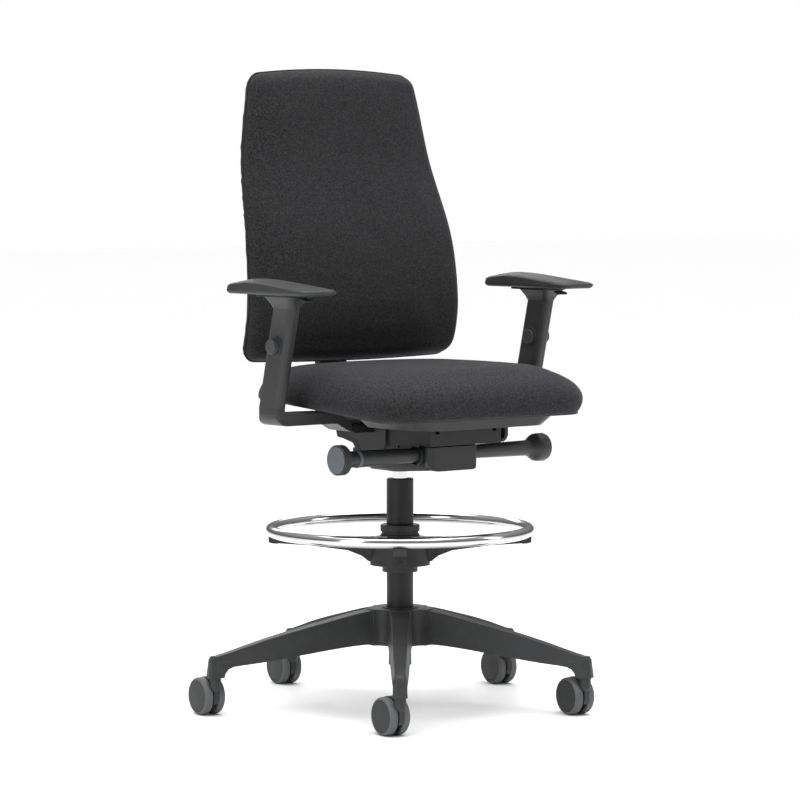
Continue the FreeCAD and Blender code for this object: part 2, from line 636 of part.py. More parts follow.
def arm_bracket():
    """Sliding tongue, bar under the seat, rounded elbow and the fixed inner upright."""
    y0 = ARM_FOOT_Y - ARM_SECTION_Y / 2
    y1 = ARM_FOOT_Y + ARM_SECTION_Y / 2
    outer_x = ARM_X + ARM_SECTION_X / 2
    inner_x = ARM_X - ARM_SECTION_X / 2
    elbow_r = 24.0
    outline = [(92, 529.3), (140, 529.3), (152, 532), (176, 545.0), (188, 546.0)]
    for k in range(7):
        a = math.radians(-90 + 15 * k)
        outline.append((outer_x - elbow_r + elbow_r * math.cos(a), 546 + elbow_r + elbow_r * math.sin(a)))
    outline += [(outer_x, 572), (inner_x, 572), (inner_x - 5, 568), (188, 567), (170, 564), (142, 543),
                (136.6, 538.1), (92, 538.1)]
    bar = prism_xz(outline, y0, y1)
    bar = bar.common(rounded_block(60, outer_x, y0, y1, 500, 600, ARM_CORNER_R))
    bar = bar.cut([box(50, 143, y0 - 5, -30.0, 500, 600), box(50, 143, 10.0, y1 + 5, 500, 600)])
    riser = rounded_block(inner_x, outer_x, y0, y1, 566, ARM_SEAM_Z, ARM_CORNER_R)
    upright = oval_column(ARM_SEAM_Z - 1, 750, 42.0, 12.0)
    slot_y = arm_axis_y(BUTTON_Z)
    slot = box(ARM_X - 20, ARM_X + 20, slot_y - 40, slot_y + 5.4, BUTTON_Z - 5.4, 770)
    slot = slot.common(lean_slab(10.8))
    return fuse([bar, riser, upright]).cut(slot)


def lean_slab(width):
    """A slab along the arm's centre line, of a given width in Y."""
    half = width / 2 / math.cos(ARM_LEAN)
    bottom, top = 600, 800
    outline = [(arm_axis_y(bottom) - half, bottom), (arm_axis_y(bottom) + half, bottom),
               (arm_axis_y(top) + half, top), (arm_axis_y(top) - half, top)]
    return prism_yz(outline, ARM_X - 30, ARM_X + 30)


def arm_sleeve():
    """Hollow upright that slides over the inner one and flares into a head under the pad."""
    outside = oval_column(ARM_SEAM_Z + FREE_GAP, ARM_NECK_Z, ARM_SECTION_Y, ARM_SECTION_X)
    neck_y = arm_axis_y(ARM_NECK_Z)
    head_wires = [oval_wire(ARM_NECK_Z, ARM_SECTION_Y, ARM_SECTION_X, neck_y),
                  oval_wire(767, 65, 34, neck_y - 1.0), oval_wire(ARM_HEAD_Z, 82, 50, neck_y - 3.0)]
    head = Part.makeLoft(head_wires, True, True)
    hollow = oval_column(ARM_SEAM_Z - 4, 753, 43.0, 13.0)
    z = BUTTON_Z
    y = arm_axis_y(z)
    rims = [rod_x(ARM_X - 14.0, ARM_X + 15.0, y, z, 18.0)]
    body = fuse([outside, head] + rims).cut(hollow)
    cap_bores = rod_x(ARM_X - 30, ARM_X + 30, y, z, 14.1).cut(rod_x(ARM_X - 8.0, ARM_X + 8.0, y, z, 15))
    return body.cut([cap_bores, rod_x(ARM_X - 30, ARM_X + 30, y, z, 4.55)])


def arm_button():
    """Height button: a cap on each side of the sleeve on one through pin."""
    z = BUTTON_Z
    y = arm_axis_y(z)
    cap_r = 13.75
    outer = rod_x(ARM_X + 12.6, ARM_X + 25.5, y, z, cap_r)
    outer = outer.makeFillet(1.6, [e for e in outer.Edges if e.BoundBox.XMin > ARM_X + 24])
    inner = rod_x(ARM_X - 18.5, ARM_X - 8.5, y, z, cap_r)
    inner = inner.makeFillet(1.6, [e for e in inner.Edges if e.BoundBox.XMax < ARM_X - 18])
    return fuse([outer, inner, rod_x(ARM_X - 9.0, ARM_X + 13.0, y, z, 4.5)])


def pad_base():
    """Swivel plate on the arm's head that guides the pad."""
    y = arm_axis_y(ARM_NECK_Z)
    plate = rounded_block(ARM_X - 28, ARM_X + 28, y - 46, y + 60, ARM_HEAD_Z + 0.3, PAD_BOTTOM_Z - 0.3, 12)
    return plate


def arm_pad():
    """Soft-touch pad with a flat top, a crisp upper edge and a bevelled underside."""
    def outline(z, grow, radius):
        half_x = PAD_WIDTH / 2 + grow
        half_y = PAD_LENGTH / 2 + grow
        return rounded_wire(PAD_X - half_x, PAD_X + half_x, PAD_Y - half_y, PAD_Y + half_y, z, radius)
    lower = Part.makeLoft([outline(PAD_BOTTOM_Z, -12, 16), outline(PAD_BOTTOM_Z + 5.0, -1, 24)], True, True)
    middle = Part.makeLoft([outline(PAD_BOTTOM_Z + 5.0, -1, 24), outline(PAD_BOTTOM_Z + 9.0, 0, 25)],
                           True, True)
    upper = Part.makeLoft([outline(PAD_BOTTOM_Z + 9.0, 0, 25), outline(PAD_TOP_Z - 4.0, -4, 22)], True, True)
    crown = Part.makeLoft([outline(PAD_TOP_Z - 4.0, -4, 22), outline(PAD_TOP_Z, -16, 14)], True, True)
    return fuse([lower, middle, upper, crown])


def pad_release():
    """Small finger tab under the front of the pad's plate."""
    y = arm_axis_y(ARM_NECK_Z)
    z = ARM_HEAD_Z
    outline = [(y - 48, z - 4.0), (y - 46, z - 1.0), (y - 63, z - 3.5), (y - 65, z - 7.5), (y - 60, z - 8.5)]
    return prism_yz(outline, ARM_X - 9, ARM_X + 9)


# ------------------------------------------------------------------ backrest
def back_outline(trim, corner_r):
    """The backrest's outline seen from the front, as a deep prism with rounded corners."""
    low = BACK_STATIONS[0][0] + trim
    high = BACK_STATIONS[-1][0] - trim
    right = [vec(half - trim, 0, min(max(z, low), high)) for z, half, front in BACK_STATIONS]
    left = [vec(-p.x, 0, p.z) for p in reversed(right)]
    sides = []
    for points in (right, left):
        curve = Part.BSplineCurve()
        curve.interpolate(points)
        sides.append(curve.toShape())
    top = Part.Arc(right[-1], vec(0, 0, high + 8.0), left[0]).toShape()
    bottom = Part.Arc(left[-1], vec(0, 0, low - 4.0), right[0]).toShape()
    prism = Part.Face(Part.Wire([sides[0], top, sides[1], bottom])).extrude(vec(0, 400, 0))
    corners = [e for e in prism.Edges if e.BoundBox.YLength > 399 and len(e.Vertexes) == 2]
    return prism.makeFillet(corner_r, corners)


def back_layer(front, rear, trim, corner_r):
    """A layer of the backrest between two depths behind its front face, edges rounded in plan."""
    wires = []
    for z, half, y in BACK_STATIONS:
        wires.append(rounded_wire(-half + trim, half - trim, y + front, y + rear, z, corner_r))
    wires[0].translate(vec(0, 0, -8.0))
    wires[-1].translate(vec(0, 0, 12.0))
    layer = Part.makeLoft(wires, True, False)
    return layer.common(back_outline(trim, BACK_CORNER_R - trim))


def back_cushion():
    return back_layer(0.0, CUSHION_DEPTH, 0.0, 16.0)


def back_shell():
    """Rear shell, its edge bevelled to the rear, with the guide that slides on the carrier's upright."""
    lip = 6.0
    front = CUSHION_DEPTH + 0.2
    rear = CUSHION_DEPTH + SHELL_DEPTH
    shell = fuse([back_layer(front, front + lip, 2.5, 4.0), bevelled_layer(front + lip, rear, 2.5, 14.0)])
    shell = shell.cut(back_layer(front - 5.0, rear - 5.0, 16.0, 6.0))
    guide = rounded_block(-46, 46, UPRIGHT_FRONT_Y - 29, UPRIGHT_REAR_Y + 10, 690, 882, 9)
    x = UPRIGHT_HALF_X + FREE_GAP
    channel = box(-x, x, UPRIGHT_FRONT_Y - FREE_GAP, UPRIGHT_REAR_Y + FREE_GAP, 600, 900)
    keep_out = back_layer(-80.0, rear - 5.0, 16.0, 6.0)
    return fuse([shell, guide.cut(keep_out)]).cut(channel)


def bevelled_layer(front, rear, trim, inset):
    """A layer of the backrest that is drawn in by an inset from its front to its rear."""
    layers = 4
    step = (rear - front) / layers
    slices = []
    for k in range(layers):
        grow = trim + inset * (k + 1) / layers
        slices.append(back_layer(front + k * step - 0.5, front + (k + 1) * step, grow, 2.0))
    return fuse(slices)


def back_carrier():
    """Cranked bar from the tilt pivot, under the seat and up behind the back."""
    y, z = BACK_PIVOT
    front = UPRIGHT_FRONT_Y
    rear = UPRIGHT_REAR_Y
    side = [(y, z - 12), (66, z - 6), (80, 484), (92, 486), (100, 496), (126, 502), (146, 505), (150, 516),
            (180, 524), (200, 531), (209, 538), (rear, 550), (rear, UPRIGHT_TOP_Z), (front, UPRIGHT_TOP_Z),
            (front, 556), (192, 548), (176, 541), (140, 529), (110, 521), (70, 500), (y, z + 12)]
    bar = prism_yz(side, -UPRIGHT_HALF_X, UPRIGHT_HALF_X)
    eye = rod_x(-44, 44, y, z, 12.5)
    return fuse([bar, eye]).cut(rod_x(-60, 60, y, z, PIN_R + RUNNING_GAP))


# ------------------------------------------------------------------ write every node
def save_lowered(shape, node):
    """Lower a piece drawn from the datum to its height above the floor, and write it."""
    shape = shape.copy()
    shape.translate(vec(0, 0, -DATUM_Z))
    save(shape, node)


def save_pair(shape, name):
    """Write a piece for both sides; it is built on the +X side, the sitter's left."""
    save_lowered(shape, name + "_left")
    save_lowered(mirrored(shape), name + "_right")


def main():
    os.makedirs("parts", exist_ok=True)
    singles = [star_base, column_tube, column_guide_bush, thrust_bearing, foot_ring_tube, foot_ring_hub,
               foot_ring_collar, piston_rod, gas_cylinder, valve_pin, mechanism_housing, nose_cover,
               pivot_pins, tilt_spring, height_lever, lever_ring, tension_knob, tension_knob_cap,
               tilt_lock_lever,
               seat_carrier, carrier_side_covers, seat_slide_rails, seat_pan, seat_cushion, seat_depth_lever,
               back_carrier, back_shell, back_cushion]
    for make in singles:
        save_lowered(make(), make.__name__)
    for make in (arm_bracket, arm_sleeve, arm_button, pad_base, arm_pad, pad_release):
        save_pair(make(), make.__name__)
    for make in (caster_housing, caster_pins, wheel_cores, wheel_tyres):
        shape = make()
        for k in range(LEG_COUNT):
            save(at_stem(shape, k), make.__name__ + "_" + str(k + 1))


main()
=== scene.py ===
import json
import math

import bmesh
import bpy
from bpy.props import FloatProperty, FloatVectorProperty, PointerProperty
from mathutils import Euler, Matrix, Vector


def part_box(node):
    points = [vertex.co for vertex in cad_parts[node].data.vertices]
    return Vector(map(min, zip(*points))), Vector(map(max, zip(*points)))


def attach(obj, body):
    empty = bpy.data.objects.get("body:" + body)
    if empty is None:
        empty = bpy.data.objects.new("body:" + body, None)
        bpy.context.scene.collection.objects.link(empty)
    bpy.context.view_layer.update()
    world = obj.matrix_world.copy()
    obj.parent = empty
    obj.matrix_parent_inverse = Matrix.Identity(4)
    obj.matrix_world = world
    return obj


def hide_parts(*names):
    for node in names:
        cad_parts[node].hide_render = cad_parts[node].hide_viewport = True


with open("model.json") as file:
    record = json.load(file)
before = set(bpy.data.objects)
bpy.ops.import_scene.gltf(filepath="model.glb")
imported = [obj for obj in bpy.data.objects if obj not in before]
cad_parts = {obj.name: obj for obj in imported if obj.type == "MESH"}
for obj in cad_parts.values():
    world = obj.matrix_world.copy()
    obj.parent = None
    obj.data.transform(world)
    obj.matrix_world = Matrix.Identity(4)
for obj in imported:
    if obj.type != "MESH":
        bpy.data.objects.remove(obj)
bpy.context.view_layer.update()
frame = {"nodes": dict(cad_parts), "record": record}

bl_info = {
    "name": "Drafting chair finisher",
    "version": (1, 0, 0),
    "blender": (4, 5, 0),
    "location": "View3D > Sidebar > Chair",
    "description": "Upholstery, finishes and studio for a drafting chair built round its working frame",
    "category": "Object",
}

MM = 0.001


# ---------------------------------------------------------------- settings
class CHAIR_PG_upholstery(bpy.types.PropertyGroup):
    """Cloth and foam of the seat and the back."""

    cloth_dark: FloatVectorProperty(name="Cloth, dark yarn", description="Colour of the cloth's darker yarn",
                                    subtype="COLOR", size=3, min=0, max=1, default=(0.0062, 0.0062, 0.0065))
    cloth_light: FloatVectorProperty(name="Cloth, light yarn", description="Colour of the lighter flecks",
                                     subtype="COLOR", size=3, min=0, max=1, default=(0.030, 0.030, 0.0315))
    yarn: FloatProperty(name="Yarn", description="Width of one yarn of the weave", unit="LENGTH",
                        min=0.0005, max=0.01, default=0.0016)
    voxel: FloatProperty(name="Foam cell", description="Grid size of the foam mesh", unit="LENGTH",
                         min=0.003, max=0.02, default=0.005)
    seat_swell: FloatProperty(name="Seat swell", description="Most that the seat cover may swell", unit="LENGTH",
                              min=0, max=0.03, default=0.006)
    back_swell: FloatProperty(name="Back swell", description="Most that the back cover may swell", unit="LENGTH",
                              min=0, max=0.03, default=0.005)
    welt_radius: FloatProperty(name="Welt radius", description="Radius of the welt round the back's edge",
                               unit="LENGTH", min=0.0005, max=0.006, default=0.0016)


class CHAIR_PG_finishes(bpy.types.PropertyGroup):
    """Moulded, painted and plated finishes."""

    plastic: FloatVectorProperty(name="Plastic", description="Colour of the anthracite mouldings", subtype="COLOR",
                                 size=3, min=0, max=1, default=(0.0215, 0.022, 0.023))
    accent: FloatVectorProperty(name="Accent", description="Colour of the blue-grey trim", subtype="COLOR", size=3,
                                min=0, max=1, default=(0.075, 0.083, 0.094))
    tread: FloatVectorProperty(name="Tread", description="Colour of the soft caster treads", subtype="COLOR",
                               size=3, min=0, max=1, default=(0.085, 0.087, 0.09))
    edge: FloatProperty(name="Edge radius", description="Rounding along the edges of the hard parts", unit="LENGTH",
                        min=0, max=0.005, default=0.0012)
    # Strength of the painted highlight that lightens the edges of the mouldings; it also lowers their roughness
    # there.
    edge_highlight_and_gloss: FloatProperty(name="Edge highlight strength", description="How much the edges are lightened by a painted highlight and made glossier",
                        subtype="FACTOR", min=0, max=1, default=0.55)
    screw_head: FloatProperty(name="Screw head", description="Radius of the screw heads", unit="LENGTH",
                              min=0.001, max=0.01, default=0.0042)


class CHAIR_PG_studio(bpy.types.PropertyGroup):
    """Camera, floor and lights."""

    distance: FloatProperty(name="Camera distance", description="From the column's axis along the floor",
                            unit="LENGTH", min=1, max=20, default=6.669)
    height: FloatProperty(name="Camera height", description="Above the floor", unit="LENGTH", min=0, max=4,
                          default=1.0106)
    azimuth: FloatProperty(name="Camera azimuth", description="Round the chair, from its front", unit="ROTATION",
                           default=math.radians(-39.53))
    pitch: FloatProperty(name="Camera pitch", description="Downward tilt", unit="ROTATION",
                         default=math.radians(3.758))
    lens: FloatProperty(name="Lens", description="Focal length in millimetres", min=10, max=400, default=162.54)
    key_power: FloatProperty(name="Key light", description="Power of the large soft light in watts", min=0,
                             default=120.0)
    wash: FloatProperty(name="High wash", description="Strength of the broad light from above", min=0, default=2.6)


class CHAIR_PG_settings(bpy.types.PropertyGroup):
    """All settings of the chair."""

    upholstery: PointerProperty(type=CHAIR_PG_upholstery)
    finishes: PointerProperty(type=CHAIR_PG_finishes)
    studio: PointerProperty(type=CHAIR_PG_studio)


def settings():
    return bpy.context.scene.chair


# ---------------------------------------------------------------- shader groups
def new_group(name, inputs, outputs):
    """A shader node group with its sockets; returns the tree and its input and output nodes."""
    tree = bpy.data.node_groups.new(name, "ShaderNodeTree")
    for socket_name, kind, default in inputs:
        socket = tree.interface.new_socket(socket_name, in_out="INPUT", socket_type=kind)
        if default is not None:
            socket.default_value = default
    for socket_name, kind in outputs:
        tree.interface.new_socket(socket_name, in_out="OUTPUT", socket_type=kind)
    return tree, tree.nodes.new("NodeGroupInput"), tree.nodes.new("NodeGroupOutput")


def add(tree, kind, **values):
    """A node with its properties set."""
    node = tree.nodes.new(kind)
    for key, value in values.items():
        setattr(node, key, value)
    return node


def math_node(tree, operation, a, b=None):
    """A Math node; a and b are sockets or numbers."""
    node = add(tree, "ShaderNodeMath", operation=operation)
    for index, value in enumerate((a, b)):
        if value is None:
            continue
        if isinstance(value, (int, float)):
            node.inputs[index].default_value = value
        else:
            tree.links.new(value, node.inputs[index])
    return node.outputs[0]


def noise(tree, vector, scale, detail=2.0, roughness=0.5):
    node = add(tree, "ShaderNodeTexNoise")
    tree.links.new(vector, node.inputs["Vector"])
    node.inputs["Scale"].default_value = scale
    node.inputs["Detail"].default_value = detail
    node.inputs["Roughness"].default_value = roughness
    return node.outputs["Fac"]


def spread(tree, value, low, high, to_low=0.0, to_high=1.0):
    """Map a value's range onto another, clamped."""
    node = add(tree, "ShaderNodeMapRange")
    tree.links.new(value, node.inputs["Value"])
    node.inputs["From Min"].default_value = low
    node.inputs["From Max"].default_value = high
    node.inputs["To Min"].default_value = to_low
    node.inputs["To Max"].default_value = to_high
    return node.outputs["Result"]


def group_grain():
    """Spark-eroded grain of a moulded surface: a height and a fine mottle."""
    tree, given, out = new_group("Moulded grain", [("Vector", "NodeSocketVector", None),
                                                   ("Size", "NodeSocketFloat", 0.0008)],
                                 [("Height", "NodeSocketFloat"), ("Mottle", "NodeSocketFloat")])
    inverse = math_node(tree, "DIVIDE", 1.0, given.outputs["Size"])
    fine = add(tree, "ShaderNodeTexVoronoi", feature="SMOOTH_F1")
    tree.links.new(given.outputs["Vector"], fine.inputs["Vector"])
    tree.links.new(inverse, fine.inputs["Scale"])
    cloud = noise(tree, given.outputs["Vector"], 38.0, 4.0, 0.6)
    tree.links.new(fine.outputs["Distance"], out.inputs["Height"])
    tree.links.new(spread(tree, cloud, 0.3, 0.7), out.inputs["Mottle"])
    return tree


def group_edge_highlight():
    """Mask of the outer edges, where a painted highlight lightens a moulding and its roughness is lowered."""
    tree, given, out = new_group("Painted edge highlight", [("Width", "NodeSocketFloat", 0.0015)],
                                 [("Mask", "NodeSocketFloat")])
    bevel = add(tree, "ShaderNodeBevel", samples=4)
    tree.links.new(given.outputs["Width"], bevel.inputs["Radius"])
    geometry = add(tree, "ShaderNodeNewGeometry")
    dot = add(tree, "ShaderNodeVectorMath", operation="DOT_PRODUCT")
    tree.links.new(bevel.outputs["Normal"], dot.inputs[0])
    tree.links.new(geometry.outputs["Normal"], dot.inputs[1])
    tree.links.new(spread(tree, dot.outputs["Value"], 0.995, 0.86), out.inputs["Mask"])
    return tree


def group_weave():
    """Twill-like cloth of a flecked yarn: a height, a fleck mask and a broad tone."""
    tree, given, out = new_group("Flecked weave", [("Vector", "NodeSocketVector", None),
                                                   ("Yarn", "NodeSocketFloat", 0.0016)],
                                 [("Height", "NodeSocketFloat"), ("Fleck", "NodeSocketFloat"),
                                  ("Tone", "NodeSocketFloat")])
    inverse = math_node(tree, "DIVIDE", 1.0, given.outputs["Yarn"])
    knots = add(tree, "ShaderNodeTexVoronoi", feature="F1")
    knots.inputs["Randomness"].default_value = 0.72
    tree.links.new(given.outputs["Vector"], knots.inputs["Vector"])
    tree.links.new(inverse, knots.inputs["Scale"])
    fibre = noise(tree, given.outputs["Vector"], 1500.0, 2.0, 0.7)
    height = math_node(tree, "SUBTRACT", 1.0, knots.outputs["Distance"])
    height = math_node(tree, "ADD", height, math_node(tree, "MULTIPLY", fibre, 0.35))
    tint = add(tree, "ShaderNodeSeparateColor")
    tree.links.new(knots.outputs["Color"], tint.inputs["Color"])
    clumps = noise(tree, given.outputs["Vector"], 260.0, 3.0, 0.65)
    mixed = math_node(tree, "ADD", math_node(tree, "MULTIPLY", tint.outputs["Red"], 0.45),
                      math_node(tree, "MULTIPLY", clumps, 0.9))
    broad = noise(tree, given.outputs["Vector"], 9.0, 3.0, 0.5)
    tree.links.new(height, out.inputs["Height"])
    tree.links.new(spread(tree, mixed, 0.42, 0.98), out.inputs["Fleck"])
    tree.links.new(spread(tree, broad, 0.3, 0.7), out.inputs["Tone"])
    return tree


GROUP_MAKERS = {"Moulded grain": group_grain, "Painted edge highlight": group_edge_highlight, "Flecked weave": group_weave}


def use_group(tree, name, **values):
    """Place a shared group in a material, building the group the first time."""
    group = bpy.data.node_groups.get(name) or GROUP_MAKERS[name]()
    node = add(tree, "ShaderNodeGroup", node_tree=group)
    for key, value in values.items():
        node.inputs[key].default_value = value
    return node


# ---------------------------------------------------------------- materials
def new_material(name):
    """A node material with object coordinates; returns it, its tree, its shader and the coordinates."""
    material = bpy.data.materials.new(name)
    material.use_nodes = True
    tree = material.node_tree
    shader = tree.nodes["Principled BSDF"]
    place = add(tree, "ShaderNodeTexCoord").outputs["Object"]
    return material, tree, shader, place


def mix_colours(tree, mask, low, high):
    node = add(tree, "ShaderNodeMix", data_type="RGBA")
    tree.links.new(mask, node.inputs["Factor"])
    for socket, value in ((node.inputs[6], low), (node.inputs[7], high)):
        if isinstance(value, bpy.types.NodeSocket):
            tree.links.new(value, socket)
        else:
            socket.default_value = (*value, 1.0)
    return node.outputs[2]


def add_bump(tree, shader, height, distance, strength=1.0, edge_radius=0.0):
    """Surface relief, over edges rounded by a radius."""
    bump = add(tree, "ShaderNodeBump")
    if edge_radius:
        edge = add(tree, "ShaderNodeBevel", samples=6)
        edge.inputs["Radius"].default_value = edge_radius
        tree.links.new(edge.outputs["Normal"], bump.inputs["Normal"])
    bump.inputs["Distance"].default_value = distance
    bump.inputs["Strength"].default_value = strength
    tree.links.new(height, bump.inputs["Height"])
    tree.links.new(bump.outputs["Normal"], shader.inputs["Normal"])


def shade(colour, factor):
    return tuple(min(1.0, c * factor) for c in colour)


MOULDED_SPECULAR = 0.3


def moulded(name, colour, roughness=0.5, grain=0.0007, depth=0.00004):
    """Textured moulding or powder coat: fine grain, faint mottle, and edges lightened by a painted highlight and
    made glossier.
    """
    material, tree, shader, place = new_material(name)
    skin = use_group(tree, "Moulded grain", Size=grain)
    tree.links.new(place, skin.inputs["Vector"])
    edges = use_group(tree, "Painted edge highlight", Width=0.0016)
    base = mix_colours(tree, skin.outputs["Mottle"], shade(colour, 0.88), shade(colour, 1.12))
    highlight_and_gloss = math_node(tree, "MULTIPLY", edges.outputs["Mask"], settings().finishes.edge_highlight_and_gloss)
    # The edges are lightened towards 1.9 times the colour: a painted highlight.
    colour_out = mix_colours(tree, highlight_and_gloss, base, shade(colour, 1.9))
    tree.links.new(colour_out, shader.inputs["Base Color"])
    rough = spread(tree, skin.outputs["Mottle"], 0.0, 1.0, roughness - 0.04, roughness + 0.05)
    rough = math_node(tree, "SUBTRACT", rough, math_node(tree, "MULTIPLY", highlight_and_gloss, 0.12))
    tree.links.new(rough, shader.inputs["Roughness"])
    shader.inputs["Specular IOR Level"].default_value = MOULDED_SPECULAR
    add_bump(tree, shader, skin.outputs["Height"], depth, 0.6, settings().finishes.edge)
    return material


def plated(name, colour, roughness):
    """Chrome plate or bare steel with faint polishing marks."""
    material, tree, shader, place = new_material(name)
    haze = noise(tree, place, 60.0, 5.0, 0.6)
    marks = noise(tree, place, 900.0, 2.0, 0.5)
    base = mix_colours(tree, haze, shade(colour, 0.93), colour)
    tree.links.new(base, shader.inputs["Base Color"])
    rough = spread(tree, haze, 0.3, 0.75, roughness * 0.7, roughness * 1.5)
    tree.links.new(rough, shader.inputs["Roughness"])
    shader.inputs["Metallic"].default_value = 1.0
    add_bump(tree, shader, marks, 0.000004, 0.3)
    return material


def cloth(name, dark, light):
    """Flecked wool-look cloth."""
    material, tree, shader, place = new_material(name)
    weave = use_group(tree, "Flecked weave", Yarn=settings().upholstery.yarn)
    tree.links.new(place, weave.inputs["Vector"])
    colour = mix_colours(tree, weave.outputs["Fleck"], dark, light)
    toned = mix_colours(tree, weave.outputs["Tone"], shade(dark, 1.0), shade(light, 0.75))
    mixed = mix_colours(tree, spread(tree, weave.outputs["Tone"], 0.0, 1.0, 0.05, 0.16), colour, toned)
    tree.links.new(mixed, shader.inputs["Base Color"])
    rough = spread(tree, weave.outputs["Fleck"], 0.0, 1.0, 0.96, 0.84)
    tree.links.new(rough, shader.inputs["Roughness"])
    shader.inputs["Specular IOR Level"].default_value = 0.10
    shader.inputs["Sheen Weight"].default_value = 0.09
    shader.inputs["Sheen Roughness"].default_value = 0.45
    shader.inputs["Sheen Tint"].default_value = (0.9, 0.92, 1.0, 1.0)
    add_bump(tree, shader, weave.outputs["Height"], 0.0007, 0.75)
    return material


def make_materials():
    """Every finish of the chair, by the name of the record's slot."""
    look = settings().finishes
    soft = settings().upholstery
    plastic = tuple(look.plastic)
    accent = tuple(look.accent)
    made = {
        "base_plastic": moulded("Base moulding", shade(plastic, 1.2), 0.50, 0.0008, 0.00005),
        "column_paint": moulded("Column powder coat", shade(plastic, 0.32), 0.46, 0.0011, 0.00007),
        "guide_plastic": moulded("Guide bush", shade(plastic, 0.6), 0.5),
        "steel": plated("Turned steel", (0.56, 0.56, 0.57), 0.28),
        "ring_chrome": plated("Chrome plate", (0.52, 0.523, 0.53), 0.13),
        "moulded_plastic": moulded("Dark moulding", shade(plastic, 0.95), 0.50),
        "cylinder_chrome": plated("Polished cylinder", (0.86, 0.86, 0.87), 0.05),
        "housing_paint": moulded("Housing paint", shade(plastic, 0.5), 0.5),
        "lever_plastic": moulded("Lever moulding", shade(plastic, 1.1), 0.44),
        "accent_plastic": moulded("Blue-grey trim", accent, 0.42),
        "knob_plastic": moulded("Knob moulding", shade(plastic, 0.75), 0.46),
        "pan_plastic": moulded("Pan moulding", shade(plastic, 0.8), 0.52),
        "shell_plastic": moulded("Shell moulding", shade(plastic, 0.42), 0.5),
        "arm_plastic": moulded("Arm moulding", shade(plastic, 1.05), 0.47),
        "button_plastic": moulded("Button moulding", shade(plastic, 1.6), 0.42),
        "pad_soft": moulded("Pad skin", shade(plastic, 1.05), 0.55, 0.0009, 0.00005),
        "caster_plastic": moulded("Caster moulding", shade(plastic, 1.1), 0.48),
        "wheel_plastic": moulded("Wheel disc", shade(plastic, 0.9), 0.44),
        "wheel_tread": moulded("Tread", tuple(look.tread), 0.6, 0.001, 0.00004),
        "seat_fabric": cloth("Seat cloth", tuple(soft.cloth_dark), tuple(soft.cloth_light)),
        "back_fabric": cloth("Back cloth", shade(tuple(soft.cloth_dark), 0.92),
                             shade(tuple(soft.cloth_light), 0.86)),
    }
    return made


def finish_of(slot):
    return bpy.data.materials[bpy.context.scene["finish_" + slot]]


# ---------------------------------------------------------------- geometry trees
def geometry_tree(name, inputs):
    """A geometry node tree with named inputs; returns the tree and its input and output nodes."""
    tree = bpy.data.node_groups.new(name, "GeometryNodeTree")
    tree.is_modifier = True
    tree.interface.new_socket("Geometry", in_out="INPUT", socket_type="NodeSocketGeometry")
    for socket_name, kind in inputs:
        tree.interface.new_socket(socket_name, in_out="INPUT", socket_type=kind)
    tree.interface.new_socket("Geometry", in_out="OUTPUT", socket_type="NodeSocketGeometry")
    return tree, tree.nodes.new("NodeGroupInput"), tree.nodes.new("NodeGroupOutput")


def chain(tree, *sockets):
    """Link sockets in pairs: out, in, out, in."""
    for start, end in zip(sockets[::2], sockets[1::2]):
        tree.links.new(start, end)


def smooth_tree():
    """Smooth shading that keeps the edges sharper than an angle crisp."""
    tree, given, out = geometry_tree("Smooth by angle", [("Angle", "NodeSocketFloat")])
    weld = add(tree, "GeometryNodeMergeByDistance")
    weld.inputs["Distance"].default_value = 0.00002
    faces = add(tree, "GeometryNodeSetShadeSmooth", domain="FACE")
    edges = add(tree, "GeometryNodeSetShadeSmooth", domain="EDGE")
    edges.inputs["Shade Smooth"].default_value = False
    angle = add(tree, "GeometryNodeInputMeshEdgeAngle")
    sharp = add(tree, "FunctionNodeCompare", data_type="FLOAT", operation="GREATER_THAN")
    chain(tree, given.outputs["Geometry"], weld.inputs["Geometry"], weld.outputs["Geometry"],
          faces.inputs["Geometry"], faces.outputs["Geometry"], edges.inputs["Geometry"],
          edges.outputs["Geometry"], out.inputs["Geometry"], angle.outputs["Unsigned Angle"], sharp.inputs["A"],
          given.outputs["Angle"], sharp.inputs["B"], sharp.outputs["Result"], edges.inputs["Selection"])
    return tree


def welt_tree():
    """A round cord along a closed run of edges."""
    tree, given, out = geometry_tree("Welt", [("Radius", "NodeSocketFloat"),
                                              ("Material", "NodeSocketMaterial")])
    curve = add(tree, "GeometryNodeMeshToCurve")
    round_section = add(tree, "GeometryNodeCurvePrimitiveCircle")
    round_section.inputs["Resolution"].default_value = 12
    sweep = add(tree, "GeometryNodeCurveToMesh")
    smooth = add(tree, "GeometryNodeSetShadeSmooth")
    realize = add(tree, "GeometryNodeRealizeInstances")
    paint = add(tree, "GeometryNodeSetMaterial")
    chain(tree, given.outputs["Geometry"], curve.inputs["Mesh"], curve.outputs["Curve"], sweep.inputs["Curve"],
          given.outputs["Radius"], round_section.inputs["Radius"], round_section.outputs["Curve"],
          sweep.inputs["Profile Curve"], sweep.outputs["Mesh"], smooth.inputs["Geometry"],
          smooth.outputs["Geometry"], realize.inputs["Geometry"], realize.outputs["Geometry"],
          paint.inputs["Geometry"], given.outputs["Material"], paint.inputs["Material"],
          paint.outputs["Geometry"], out.inputs["Geometry"])
    return tree


